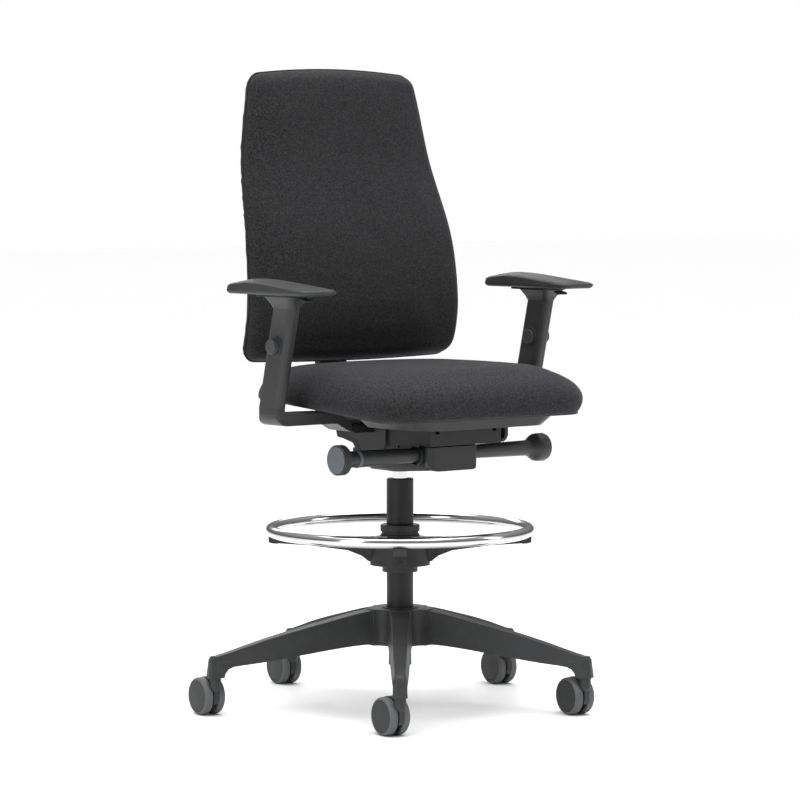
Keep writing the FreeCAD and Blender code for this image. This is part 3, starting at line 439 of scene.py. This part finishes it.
def screw_tree():
    """A hex-socket screw head on every point, each turned by chance about its own axis."""
    tree, given, out = geometry_tree("Screws", [("Head radius", "NodeSocketFloat"),
                                                ("Facing", "NodeSocketRotation"),
                                                ("Material", "NodeSocketMaterial")])
    height = math_node(tree, "MULTIPLY", given.outputs["Head radius"], 0.7)
    head = add(tree, "GeometryNodeMeshCylinder")
    head.inputs["Vertices"].default_value = 28
    recess = add(tree, "GeometryNodeMeshCylinder")
    recess.inputs["Vertices"].default_value = 6
    recess_radius = math_node(tree, "MULTIPLY", given.outputs["Head radius"], 0.5)
    lift = add(tree, "GeometryNodeTransform")
    offset = add(tree, "ShaderNodeCombineXYZ")
    carve = add(tree, "GeometryNodeMeshBoolean", operation="DIFFERENCE")
    turn = add(tree, "FunctionNodeRandomValue", data_type="FLOAT")
    turn.inputs["Max"].default_value = math.tau
    turn.inputs["Seed"].default_value = 7
    about = add(tree, "FunctionNodeAxisAngleToRotation")
    about.inputs["Axis"].default_value = (0.0, 0.0, 1.0)
    face = add(tree, "FunctionNodeRotateRotation", rotation_space="LOCAL")
    place = add(tree, "GeometryNodeInstanceOnPoints")
    realize = add(tree, "GeometryNodeRealizeInstances")
    paint = add(tree, "GeometryNodeSetMaterial")
    turn_value = [socket for socket in turn.outputs if socket.enabled][0]
    chain(tree, given.outputs["Head radius"], head.inputs["Radius"], height, head.inputs["Depth"],
          recess_radius, recess.inputs["Radius"], height, recess.inputs["Depth"],
          math_node(tree, "MULTIPLY", height, 0.55), offset.inputs["Z"],
          offset.outputs["Vector"], lift.inputs["Translation"], recess.outputs["Mesh"], lift.inputs["Geometry"],
          head.outputs["Mesh"], carve.inputs["Mesh 1"], lift.outputs["Geometry"], carve.inputs["Mesh 2"],
          turn_value, about.inputs["Angle"], given.outputs["Facing"], face.inputs["Rotation"],
          about.outputs["Rotation"], face.inputs["Rotate By"],
          given.outputs["Geometry"], place.inputs["Points"], carve.outputs["Mesh"], place.inputs["Instance"],
          face.outputs["Rotation"], place.inputs["Rotation"], place.outputs["Instances"],
          realize.inputs["Geometry"], realize.outputs["Geometry"], paint.inputs["Geometry"],
          given.outputs["Material"], paint.inputs["Material"], paint.outputs["Geometry"], out.inputs["Geometry"])
    return tree


TREE_MAKERS = {"Smooth by angle": smooth_tree, "Welt": welt_tree, "Screws": screw_tree}


def add_tree(piece, name, **values):
    """Put a geometry tree on a piece and set its inputs."""
    tree = bpy.data.node_groups.get(name) or TREE_MAKERS[name]()
    modifier = piece.modifiers.new(name, "NODES")
    modifier.node_group = tree
    for item in tree.interface.items_tree:
        key = item.name.replace(" ", "_")
        if item.in_out == "INPUT" and key in values:
            modifier[item.identifier] = values[key]
    return modifier


def grown_piece(name, points, edges, tree_name, slot, body, **values):
    """Grow a piece with a geometry tree from points and edges, and keep the result as one mesh."""
    source_mesh = bpy.data.meshes.new(name + "_path")
    source_mesh.from_pydata([tuple(p) for p in points], edges, [])
    source = bpy.data.objects.new(name + "_path", source_mesh)
    bpy.context.scene.collection.objects.link(source)
    add_tree(source, tree_name, Material=finish_of(slot), **values)
    graph = bpy.context.evaluated_depsgraph_get()
    mesh = bpy.data.meshes.new_from_object(source.evaluated_get(graph))
    bpy.data.objects.remove(source)
    mesh.name = name
    piece = bpy.data.objects.new(name, mesh)
    bpy.context.scene.collection.objects.link(piece)
    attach(piece, body)
    return piece


# ---------------------------------------------------------------- mesh helpers
def new_piece(name, mesh_builder, slot, body):
    """Make an object from a bmesh builder, give it its finish and let it ride on a body."""
    mesh = bpy.data.meshes.new(name)
    bm = bmesh.new()
    mesh_builder(bm)
    bmesh.ops.recalc_face_normals(bm, faces=bm.faces)
    bm.to_mesh(mesh)
    bm.free()
    mesh.polygons.foreach_set("use_smooth", [True] * len(mesh.polygons))
    piece = bpy.data.objects.new(name, mesh)
    bpy.context.scene.collection.objects.link(piece)
    piece.data.materials.append(finish_of(slot))
    if body:
        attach(piece, body)
    return piece


def make_active(piece):
    bpy.ops.object.select_all(action="DESELECT")
    piece.select_set(True)
    bpy.context.view_layer.objects.active = piece


def remesh_evenly(piece, voxel):
    """Give a closed form an even grid, then relax the grid's steps."""
    make_active(piece)
    modifier = piece.modifiers.new("Even grid", "REMESH")
    modifier.mode = "VOXEL"
    modifier.voxel_size = voxel
    bpy.ops.object.modifier_apply(modifier=modifier.name)
    smooth = piece.modifiers.new("Relax", "SMOOTH")
    smooth.factor = 0.5
    smooth.iterations = 6
    bpy.ops.object.modifier_apply(modifier=smooth.name)


def swell(piece, holds, most, pressure=4.0, last_frame=20):
    """Inflate a cover as cloth, held where holds(co) is true, and move no point by more than most."""
    pins = piece.vertex_groups.new(name="Held")
    held = [v.index for v in piece.data.vertices if holds(v.co)]
    pins.add(held, 1.0, "REPLACE")
    sim = piece.modifiers.new("Cover", "CLOTH")
    sim.settings.quality = 5
    sim.settings.mass = 0.25
    sim.settings.use_pressure = True
    sim.settings.uniform_pressure_force = pressure
    sim.settings.vertex_group_mass = "Held"
    sim.settings.tension_stiffness = 25
    sim.settings.compression_stiffness = 25
    sim.settings.bending_stiffness = 3
    sim.settings.effector_weights.gravity = 0
    sim.collision_settings.use_self_collision = False
    sim.collision_settings.use_collision = False
    scene = bpy.context.scene
    for number in range(1, last_frame + 1):
        scene.frame_set(number)
    graph = bpy.context.evaluated_depsgraph_get()
    swollen = piece.evaluated_get(graph).data
    moved = [vertex.co.copy() for vertex in swollen.vertices]
    piece.modifiers.remove(sim)
    scene.frame_set(1)
    steps = []
    for vertex, end in zip(piece.data.vertices, moved):
        outward = (end - vertex.co).dot(vertex.normal)
        steps.append(vertex.normal * min(most, max(0.0, outward)))
    for vertex, step in zip(piece.data.vertices, drawn_taut(piece, steps)):
        vertex.co = vertex.co + step
    piece.vertex_groups.clear()


def drawn_taut(piece, steps, rounds=40):
    """Even out the movement of the cover's points with their neighbours', so that no wrinkle stays."""
    neighbours = [[] for _ in steps]
    for edge in piece.data.edges:
        a, b = edge.vertices
        neighbours[a].append(b)
        neighbours[b].append(a)
    for _ in range(rounds):
        evened = []
        for i, step in enumerate(steps):
            around = Vector()
            for j in neighbours[i]:
                around += steps[j]
            evened.append(step * 0.4 + around * (0.6 / max(1, len(neighbours[i]))))
        steps = evened
    return steps


def subdivide(piece, levels=1):
    make_active(piece)
    modifier = piece.modifiers.new("Fine", "SUBSURF")
    modifier.levels = levels
    modifier.render_levels = levels
    bpy.ops.object.modifier_apply(modifier=modifier.name)
    piece.data.polygons.foreach_set("use_smooth", [True] * len(piece.data.polygons))


def smoothstep(low, high, value):
    t = min(1.0, max(0.0, (value - low) / (high - low)))
    return t * t * (3 - 2 * t)


def skin_rings(bm, rings):
    """Skin closed rings of points, all the same length, and close the ends on a centre point."""
    made = [[bm.verts.new(p) for p in ring] for ring in rings]
    count = len(rings[0])
    for lower, upper in zip(made, made[1:]):
        for i in range(count):
            j = (i + 1) % count
            bm.faces.new((lower[i], lower[j], upper[j], upper[i]))
    for ring in (made[0], made[-1]):
        centre = bm.verts.new(sum((v.co for v in ring), Vector()) / count)
        for i in range(count):
            bm.faces.new((ring[i], ring[(i + 1) % count], centre))


# ---------------------------------------------------------------- seat cushion
SEAT_LOW, SEAT_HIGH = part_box("seat_cushion")
SEAT_CENTRE_Y = (SEAT_LOW.y + SEAT_HIGH.y) / 2
SEAT_HALF = ((SEAT_HIGH.x - SEAT_LOW.x) / 2 + 0.5 * MM, (SEAT_HIGH.y - SEAT_LOW.y) / 2 + 0.5 * MM)
SEAT_SQUARENESS = 6.5
SEAT_WIDEST = 0.579
SEAT_SPOKES = 120
SEAT_REACH = 0.23
SEAT_SUNK = 0.0045
SEAT_PULL = 0.0095
SEAT_ROUND_STEPS = 14
SEAT_SIDE_ROUND = 0.052
SEAT_FRONT_ROUND_EXTRA = 0.040


def seat_rim_z(y):
    """Height of the cushion's lower edge: level at the front, rising over the arm brackets."""
    stations = [(-0.30, 0.551), (-0.22, 0.5522), (-0.145, 0.5575), (-0.067, 0.564), (-0.008, 0.568),
                (0.06, 0.5725), (0.20, 0.5735)]
    for (y0, z0), (y1, z1) in zip(stations, stations[1:]):
        if y <= y1:
            return z0 + (z1 - z0) * max(0.0, (y - y0) / (y1 - y0))
    return stations[-1][1]


def seat_point(angle, share):
    """Point on the plan at an angle, share of the way from the middle to the outline."""
    x = math.cos(angle)
    y = math.sin(angle)
    n = SEAT_SQUARENESS
    reach = (abs(x) ** n + abs(y) ** n) ** (-1.0 / n)
    return x * reach * share * SEAT_HALF[0], SEAT_CENTRE_Y + y * reach * share * SEAT_HALF[1]


def seat_crown(x, y):
    """Height of the crowned top over the widest level, highest along the middle."""
    side = (x / SEAT_HALF[0]) ** 2
    along = (y - SEAT_CENTRE_Y) / SEAT_HALF[1]
    return 0.0550 + 0.0035 * (1 - side) - 0.0010 * along * along


def seat_ring(share_at, height_at):
    """A ring of the seat: its share of the way out by angle, its height by place."""
    ring = []
    for k in range(SEAT_SPOKES):
        angle = 2 * math.pi * k / SEAT_SPOKES
        x, y = seat_point(angle, share_at(angle))
        ring.append(Vector((x, y, height_at(x, y))))
    return ring


def seat_form(bm):
    """Crowned foam block: waterfall front, softer round sides, lower edge drawn in."""
    rings = []
    for inset in (0.10, 0.055, 0.022):
        rings.append(seat_ring(lambda angle: 1 - inset / SEAT_REACH, lambda x, y: seat_rim_z(y) + SEAT_SUNK))
    for rise in (0.0, 0.25, 0.6, 1.0):
        pull = SEAT_PULL * (1 - rise) ** 2
        rings.append(seat_ring(lambda angle: 1 - pull / SEAT_REACH,
                               lambda x, y: seat_rim_z(y) + (SEAT_WIDEST - seat_rim_z(y)) * rise))
    for step in range(1, SEAT_ROUND_STEPS + 1):
        turn = step / SEAT_ROUND_STEPS * math.pi / 2

        def share_at(angle):
            front = smoothstep(-0.2, 0.9, -math.sin(angle))
            depth = SEAT_SIDE_ROUND + SEAT_FRONT_ROUND_EXTRA * front
            return 1 - depth / SEAT_REACH * (1 - math.cos(turn))

        rings.append(seat_ring(share_at, lambda x, y: SEAT_WIDEST + seat_crown(x, y) * math.sin(turn)))
    for share in (0.45, 0.3, 0.15):
        rings.append(seat_ring(lambda angle: share, lambda x, y: SEAT_WIDEST + seat_crown(x, y)))
    skin_rings(bm, rings)


class CHAIR_OT_seat_cushion(bpy.types.Operator):
    """Upholster the seat: foam form, swollen cover and flecked cloth."""

    bl_idname = "chair.seat_cushion"
    bl_label = "Seat cushion"

    def execute(self, context):
        soft = settings().upholstery
        piece = new_piece("seat_upholstery", seat_form, "seat_fabric", None)
        remesh_evenly(piece, soft.voxel)
        swell(piece, lambda co: co.z < seat_rim_z(co.y) + 0.010, soft.seat_swell)
        subdivide(piece)
        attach(piece, "seat")
        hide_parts("seat_cushion")
        return {"FINISHED"}


# ---------------------------------------------------------------- backrest
# Height, half width and front face of the back at each station.
BACK_STATIONS = [(0.645, 0.2455, 0.130), (0.693, 0.2475, 0.114), (0.758, 0.2465, 0.1065),
                 (0.873, 0.2405, 0.120), (1.013, 0.2205, 0.1605), (1.123, 0.201, 0.1735),
                 (1.177, 0.1885, 0.179)]
BACK_TOP_RISE = 0.008
BACK_BOTTOM_RISE = -0.004
BACK_MIDDLE_Z = 0.91
BACK_FRONT_ROUND = 0.021
BACK_CORNER = 0.030
BACK_FOAM = 0.0415
WELT_DEPTH = 0.029


def station_value(z, column):
    """A smooth value between the backrest's stations."""
    stations = BACK_STATIONS
    z = min(max(z, stations[0][0]), stations[-1][0])
    for i in range(len(stations) - 1):
        if z <= stations[i + 1][0]:
            break
    before = stations[max(i - 1, 0)]
    a = stations[i]
    b = stations[i + 1]
    after = stations[min(i + 2, len(stations) - 1)]
    span = b[0] - a[0]
    t = (z - a[0]) / span
    slope_a = (b[column] - before[column]) / (b[0] - before[0]) * span
    slope_b = (after[column] - a[column]) / (after[0] - a[0]) * span
    h = (2 * t ** 3 - 3 * t ** 2 + 1, t ** 3 - 2 * t ** 2 + t, -2 * t ** 3 + 3 * t ** 2, t ** 3 - t ** 2)
    return h[0] * a[column] + h[1] * slope_a + h[2] * b[column] + h[3] * slope_b


def back_half_width(z):
    return station_value(z, 1)


def back_face_y(z):
    return station_value(z, 2)


def back_outline(trim, spacing=0.006):
    """The backrest's outline seen from the front, with round corners, as (x, z) points."""
    low = BACK_STATIONS[0][0] + trim
    high = BACK_STATIONS[-1][0] - trim
    radius = BACK_CORNER - trim
    corners = []
    for z, side in ((low, -1), (high, 1)):
        centre_z = z - side * radius
        centre_x = back_half_width(centre_z) - trim - radius
        angles = [math.pi / 2 * k / 8 for k in range(9)]
        corners.append([(centre_x + radius * math.cos(a), centre_z + side * radius * math.sin(a))
                        for a in angles])
    lower = list(reversed(corners[0]))
    upper = corners[1]
    steps = int((upper[0][1] - lower[-1][1]) / spacing)
    side_run = []
    for k in range(1, steps):
        z = lower[-1][1] + (upper[0][1] - lower[-1][1]) * k / steps
        side_run.append((back_half_width(z) - trim, z))
    right_side = lower + side_run + upper
    top = arch(upper[-1][0], high, BACK_TOP_RISE, spacing)
    bottom = [(-x, z) for x, z in arch(lower[0][0], low, BACK_BOTTOM_RISE, spacing)]
    left_side = [(-x, z) for x, z in reversed(right_side)]
    return right_side + top + left_side + bottom


def arch(half, z, rise, spacing):
    """Points of a shallow arch from +half to -half, without its ends."""
    count = int(2 * half / spacing)
    points = []
    for k in range(1, count):
        share = 1 - 2 * k / count
        points.append((half * share, z + rise * (1 - share * share)))
    return points


def drawn_in(outline, inward):
    """The outline moved inward by a distance along its own normals."""
    moved = []
    count = len(outline)
    for i, (x, z) in enumerate(outline):
        before = outline[i - 1]
        after = outline[(i + 1) % count]
        run = math.hypot(after[0] - before[0], after[1] - before[1])
        moved.append((x - (after[1] - before[1]) / run * inward, z + (after[0] - before[0]) / run * inward))
    return moved


def back_ring(outline, depth_at, share=1.0):
    """A ring of the backrest, each point at a depth behind the face; share draws it to the middle."""
    ring = []
    for x, z in outline:
        px = x * share
        pz = BACK_MIDDLE_Z + (z - BACK_MIDDLE_Z) * share
        ring.append(Vector((px, back_face_y(pz) + depth_at(px, pz), pz)))
    return ring


def back_crown(x, z):
    """The middle of the back stands a little forward of its sides."""
    return 0.004 * (x / back_half_width(z)) ** 2 - 0.002


def back_form(bm):
    """Foam block of the back: rounded front edge, upright side band and a flat rear."""
    outline = back_outline(0.0)
    rings = []
    for share in (0.3, 0.6, 0.85):
        rings.append(back_ring(drawn_in(outline, 0.006), lambda x, z: BACK_FOAM, share))
    rings.append(back_ring(drawn_in(outline, 0.004), lambda x, z: BACK_FOAM))
    rings.append(back_ring(drawn_in(outline, 0.0005), lambda x, z: BACK_FOAM - 0.002))
    rings.append(back_ring(outline, lambda x, z: 0.034))
    steps = 12
    for step in range(steps + 1):
        a = step / steps * math.pi / 2
        depth = WELT_DEPTH * (1 - math.sin(a))
        fore = math.sin(a)
        ring = drawn_in(outline, BACK_FRONT_ROUND * (1 - math.cos(a)))
        rings.append(back_ring(ring, lambda x, z, d=depth, f=fore: d + f * back_crown(x, z)))
    inner = drawn_in(outline, BACK_FRONT_ROUND)
    for share in (0.85, 0.65, 0.45, 0.25):
        rings.append(back_ring(inner, back_crown, share))
    skin_rings(bm, rings)


class CHAIR_OT_back_cushion(bpy.types.Operator):
    """Upholster the back: foam form, swollen cover and the welt round its edge."""

    bl_idname = "chair.back_cushion"
    bl_label = "Back cushion"

    def execute(self, context):
        soft = settings().upholstery
        piece = new_piece("back_upholstery", back_form, "back_fabric", None)
        remesh_evenly(piece, soft.voxel)
        swell(piece, lambda co: co.y > back_face_y(co.z) + 0.024, soft.back_swell)
        subdivide(piece)
        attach(piece, "back")
        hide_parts("back_cushion")
        path = back_ring(back_outline(-0.0002, 0.004), lambda x, z: WELT_DEPTH)
        edges = [(i, (i + 1) % len(path)) for i in range(len(path))]
        grown_piece("back_welt", path, edges, "Welt", "back_fabric", "back", Radius=soft.welt_radius)
        return {"FINISHED"}


# ---------------------------------------------------------------- arm pads
PAD_LOW, PAD_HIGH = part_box("arm_pad_left")
PAD_MIDDLE = (PAD_LOW + PAD_HIGH) / 2
PAD_HALF_X = (PAD_HIGH.x - PAD_LOW.x) / 2
PAD_HALF_Y = (PAD_HIGH.y - PAD_LOW.y) / 2
PAD_CREASE = [(-0.160, 0.7852), (-0.117, 0.7893), (-0.068, 0.7941), (-0.020, 0.7985), (0.020, 0.7995),
              (0.055, 0.7965), (0.090, 0.7915)]


def pad_crease_z(y):
    """Height of the crease round the pad's top: an arch that falls towards the front."""
    points = PAD_CREASE
    for (y0, z0), (y1, z1) in zip(points, points[1:]):
        if y <= y1:
            t = max(0.0, (y - y0) / (y1 - y0))
            return z0 + (z1 - z0) * t
    return points[-1][1]


def pad_ring(inset, radius, height_at, taper=0.0):
    """A rounded rectangle of points; taper draws the rear in further."""
    half_x = PAD_HALF_X - inset
    half_y = PAD_HALF_Y - inset
    ring = []
    for corner_x, corner_y, start in ((1, -1, -90), (1, 1, 0), (-1, 1, 90), (-1, -1, 180)):
        for k in range(10):
            a = math.radians(start + 10 * k)
            x = corner_x * (half_x - radius) + radius * math.cos(a)
            y = corner_y * (half_y - radius) + radius * math.sin(a)
            rear = smoothstep(-PAD_HALF_Y, PAD_HALF_Y, y)
            x *= 1 - taper * rear
            y += PAD_MIDDLE.y
            ring.append(Vector((x, y, height_at(x, y))))
    evenly = []
    for i, point in enumerate(ring):
        after = ring[(i + 1) % len(ring)]
        pieces = max(1, int((after - point).length / 0.008))
        evenly += [(point, after, k / pieces) for k in range(pieces)]
    placed = []
    for point, after, t in evenly:
        x, y = (point + (after - point) * t).xy
        placed.append(Vector((x, y, height_at(x, y))))
    return placed


def pad_form(side):
    """Builder of one pad: flat crowned top inside a crease, sloping sides and a bevelled underside."""
    def build(bm):
        low = PAD_LOW.z

        def flat(z):
            return lambda x, y: z

        def crown(lift):
            return lambda x, y: pad_crease_z(y) + lift * (1 - (x / PAD_HALF_X) ** 2)

        def below_crease(drop):
            return lambda x, y: pad_crease_z(y) - drop

        base = [(0.030, 0.008, flat(low)), (0.010, 0.014, flat(low)), (0.0045, 0.016, flat(low + 0.0003)),
                (0.0015, 0.018, flat(low + 0.0022)), (0.0003, 0.018, flat(low + 0.0042)),
                (0.0, 0.018, flat(low + 0.0055)), (0.0, 0.018, flat(low + 0.0080))]
        rings = [pad_ring(0.036, 0.003, flat(low))]
        rings += [pad_ring(inset, radius, z) for inset, radius, z in base]
        top = [(0.0008, 0.018, below_crease(0.0032), 0.03), (0.0028, 0.0165, below_crease(0.0010), 0.08),
               (0.0046, 0.016, below_crease(0.0002), 0.12),
               (0.0066, 0.0155, crown(0.0004), 0.16), (0.016, 0.013, crown(0.0022), 0.16),
               (0.026, 0.009, crown(0.0034), 0.12), (0.036, 0.003, crown(0.004), 0.0)]
        rings += [pad_ring(inset, radius, z, taper) for inset, radius, z, taper in top]
        rings = [resample(ring, 240) for ring in rings]
        rings = [[Vector((p.x + side * PAD_MIDDLE.x, p.y, p.z)) for p in ring] for ring in rings]
        skin_rings(bm, rings)
    return build


def resample(ring, count):
    """The ring's outline with points at even angles about its middle, each at its own height."""
    middle_y = PAD_MIDDLE.y
    by_angle = sorted((math.atan2(p.x / PAD_HALF_X, (p.y - middle_y) / PAD_HALF_Y), p) for p in ring)
    angles = [a for a, p in by_angle]
    points = [p for a, p in by_angle]
    made = []
    j = 0
    for k in range(count):
        a = -math.pi + math.tau * (k + 0.5) / count
        while j < len(angles) and angles[j] < a:
            j += 1
        after = j % len(points)
        a0 = angles[j - 1] if j > 0 else angles[-1] - math.tau
        a1 = angles[after] if j < len(angles) else angles[0] + math.tau
        t = (a - a0) / (a1 - a0) if a1 > a0 else 0.0
        made.append(points[j - 1] + (points[after] - points[j - 1]) * t)
    return made


class CHAIR_OT_arm_pads(bpy.types.Operator):
    """Form the two soft-touch arm pads."""

    bl_idname = "chair.arm_pads"
    bl_label = "Arm pads"

    def execute(self, context):
        for name, side in (("left", 1), ("right", -1)):
            pad = new_piece("pad_skin_" + name, pad_form(side), "pad_soft", "pad_" + name)
            add_tree(pad, "Smooth by angle", Angle=math.radians(22))
            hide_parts("arm_pad_" + name)
        return {"FINISHED"}


# ---------------------------------------------------------------- screws
def surface_point(node, start, direction):
    """The first point of a part's surface from a start in a direction."""
    part = frame["nodes"][node]
    placed = part.matrix_world
    back = placed.inverted()
    heading = (back.to_3x3() @ direction).normalized()
    hit, place = part.ray_cast(back @ Vector(start), heading)[:2]
    if not hit:
        raise RuntimeError(node + " has no surface for a screw")
    return placed @ place


class CHAIR_OT_screws(bpy.types.Operator):
    """Set the screws under the seat, behind the back and under the housing."""

    bl_idname = "chair.screws"
    bl_label = "Screws"

    def execute(self, context):
        head = settings().finishes.screw_head
        down = (math.pi, 0.0, 0.0)
        rearward = (-math.pi / 2, 0.0, 0.0)
        under_pan = [(x, y, 0.40) for x in (-0.125, 0.125) for y in (-0.23, -0.11)]
        under_chin = [(x, y, 0.40) for x in (-0.033, 0.033) for y in (-0.03, 0.015)]
        behind_guide = [(x, 0.40, z) for x in (-0.0395, 0.0395) for z in (0.70, 0.86)]
        groups = [("pan_screws", "seat", "seat_pan", down, under_pan),
                  ("chin_screws", "chassis", "mechanism_housing", down, under_chin),
                  ("guide_screws", "back", "back_shell", rearward, behind_guide)]
        for name, body, node, facing, starts in groups:
            outward = Vector((0, 0, 1))
            outward.rotate(Euler(facing))
            points = [surface_point(node, start, -outward) - outward * (head * 0.3) for start in starts]
            grown_piece(name, points, [], "Screws", "housing_paint", body, Head_radius=head, Facing=facing)
        return {"FINISHED"}


# ---------------------------------------------------------------- hard parts
class CHAIR_OT_hard_parts(bpy.types.Operator):
    """Give every hard part its finish and softened edges."""

    bl_idname = "chair.hard_parts"
    bl_label = "Hard parts"

    def execute(self, context):
        scene = context.scene
        for slot, material in make_materials().items():
            scene["finish_" + slot] = material.name
        slot_of = {part["node"]: part["material_slot"] for part in frame["record"]["subparts"]}
        for node, part in frame["nodes"].items():
            material = finish_of(slot_of[node])
            part.data.materials.clear()
            part.data.materials.append(material)
            add_tree(part, "Smooth by angle", Angle=math.radians(32))
        return {"FINISHED"}


# ---------------------------------------------------------------- studio
def area_light(name, place, target, size, power):
    data = bpy.data.lights.new(name, "AREA")
    data.shape = "RECTANGLE"
    data.size, data.size_y = size
    data.energy = power
    lamp = bpy.data.objects.new(name, data)
    lamp.location = place
    lamp.rotation_euler = (Vector(target) - Vector(place)).to_track_quat("-Z", "Y").to_euler()
    bpy.context.scene.collection.objects.link(lamp)
    return lamp


def studio_world():
    """White backdrop to the camera; a softer graded surround for light and reflections."""
    world = bpy.data.worlds.new("Studio")
    world.use_nodes = True
    tree = world.node_tree
    background = tree.nodes["Background"]
    direction = add(tree, "ShaderNodeTexCoord").outputs["Generated"]
    parts = add(tree, "ShaderNodeSeparateXYZ")
    tree.links.new(direction, parts.inputs["Vector"])
    grade = spread(tree, parts.outputs["Z"], 0.0, 0.9, 0.12, 0.75)
    surround = mix_colours(tree, grade, (0.0, 0.0, 0.0), (1.0, 1.0, 1.0))
    seen = add(tree, "ShaderNodeLightPath").outputs["Is Camera Ray"]
    tree.links.new(mix_colours(tree, seen, surround, (1.0, 1.0, 1.0)), background.inputs["Color"])
    background.inputs["Strength"].default_value = 1.0
    return world


class CHAIR_OT_studio(bpy.types.Operator):
    """Pale floor, soft lights and the camera."""

    bl_idname = "chair.studio"
    bl_label = "Studio"

    def execute(self, context):
        studio = settings().studio
        scene = context.scene
        azimuth = studio.azimuth
        camera = bpy.data.objects.new("Camera", bpy.data.cameras.new("Camera"))
        camera.location = (math.sin(azimuth) * studio.distance, -math.cos(azimuth) * studio.distance,
                           studio.height)
        camera.rotation_euler = (math.pi / 2 - studio.pitch, 0, azimuth)
        camera.data.lens = studio.lens
        camera.data.sensor_width = 36.0
        scene.collection.objects.link(camera)
        scene.camera = camera

        floor_mesh = bpy.data.meshes.new("floor")
        bm = bmesh.new()
        bmesh.ops.create_grid(bm, x_segments=1, y_segments=1, size=30.0)
        bm.to_mesh(floor_mesh)
        bm.free()
        floor = bpy.data.objects.new("floor", floor_mesh)
        scene.collection.objects.link(floor)
        material, tree, shader, place = new_material("Studio floor")
        tone = noise(tree, place, 3.0, 2.0, 0.5)
        pale = mix_colours(tree, tone, (0.90, 0.90, 0.90), (0.93, 0.93, 0.93))
        tree.links.new(pale, shader.inputs["Base Color"])
        shader.inputs["Roughness"].default_value = 0.35
        shader.inputs["Specular IOR Level"].default_value = 0.25
        floor_mesh.materials.append(material)

        scene.world = studio_world()
        scene.view_settings.view_transform = "Standard"
        power = studio.key_power
        middle = (0.0, 0.0, 0.6)
        area_light("overhead", (-0.4, -0.6, 3.4), middle, (3.0, 3.0), power)
        area_light("left softbox", (-3.6, -0.6, 1.5), middle, (1.2, 2.6), power * 0.28)
        area_light("right softbox", (2.9, -2.6, 1.7), middle, (1.0, 2.4), power * 0.20)
        area_light("rear strip", (1.6, 3.0, 1.9), middle, (2.2, 0.8), power * 0.22)
        sky = bpy.data.lights.new("high wash", "SUN")
        sky.energy = studio.wash
        sky.angle = math.radians(75)
        scene.collection.objects.link(bpy.data.objects.new("high wash", sky))
        return {"FINISHED"}


# ---------------------------------------------------------------- panel and run
OPERATORS = (CHAIR_OT_hard_parts, CHAIR_OT_seat_cushion, CHAIR_OT_back_cushion, CHAIR_OT_arm_pads,
             CHAIR_OT_screws, CHAIR_OT_studio)


class CHAIR_PT_panel(bpy.types.Panel):
    """Builds the chair's finishes piece by piece."""

    bl_idname = "CHAIR_PT_panel"
    bl_label = "Drafting chair"
    bl_space_type = "VIEW_3D"
    bl_region_type = "UI"
    bl_category = "Chair"

    def draw(self, context):
        for operator in OPERATORS:
            self.layout.operator(operator.bl_idname)


CLASSES = (CHAIR_PG_upholstery, CHAIR_PG_finishes, CHAIR_PG_studio, CHAIR_PG_settings, *OPERATORS,
           CHAIR_PT_panel)


def register():
    for cls in CLASSES:
        bpy.utils.register_class(cls)
    bpy.types.Scene.chair = PointerProperty(type=CHAIR_PG_settings)


def unregister():
    del bpy.types.Scene.chair
    for cls in reversed(CLASSES):
        bpy.utils.unregister_class(cls)


def main():
    register()
    bpy.ops.chair.hard_parts()
    bpy.ops.chair.seat_cushion()
    bpy.ops.chair.back_cushion()
    bpy.ops.chair.arm_pads()
    bpy.ops.chair.screws()
    bpy.ops.chair.studio()


if __name__ == "__main__":
    main()
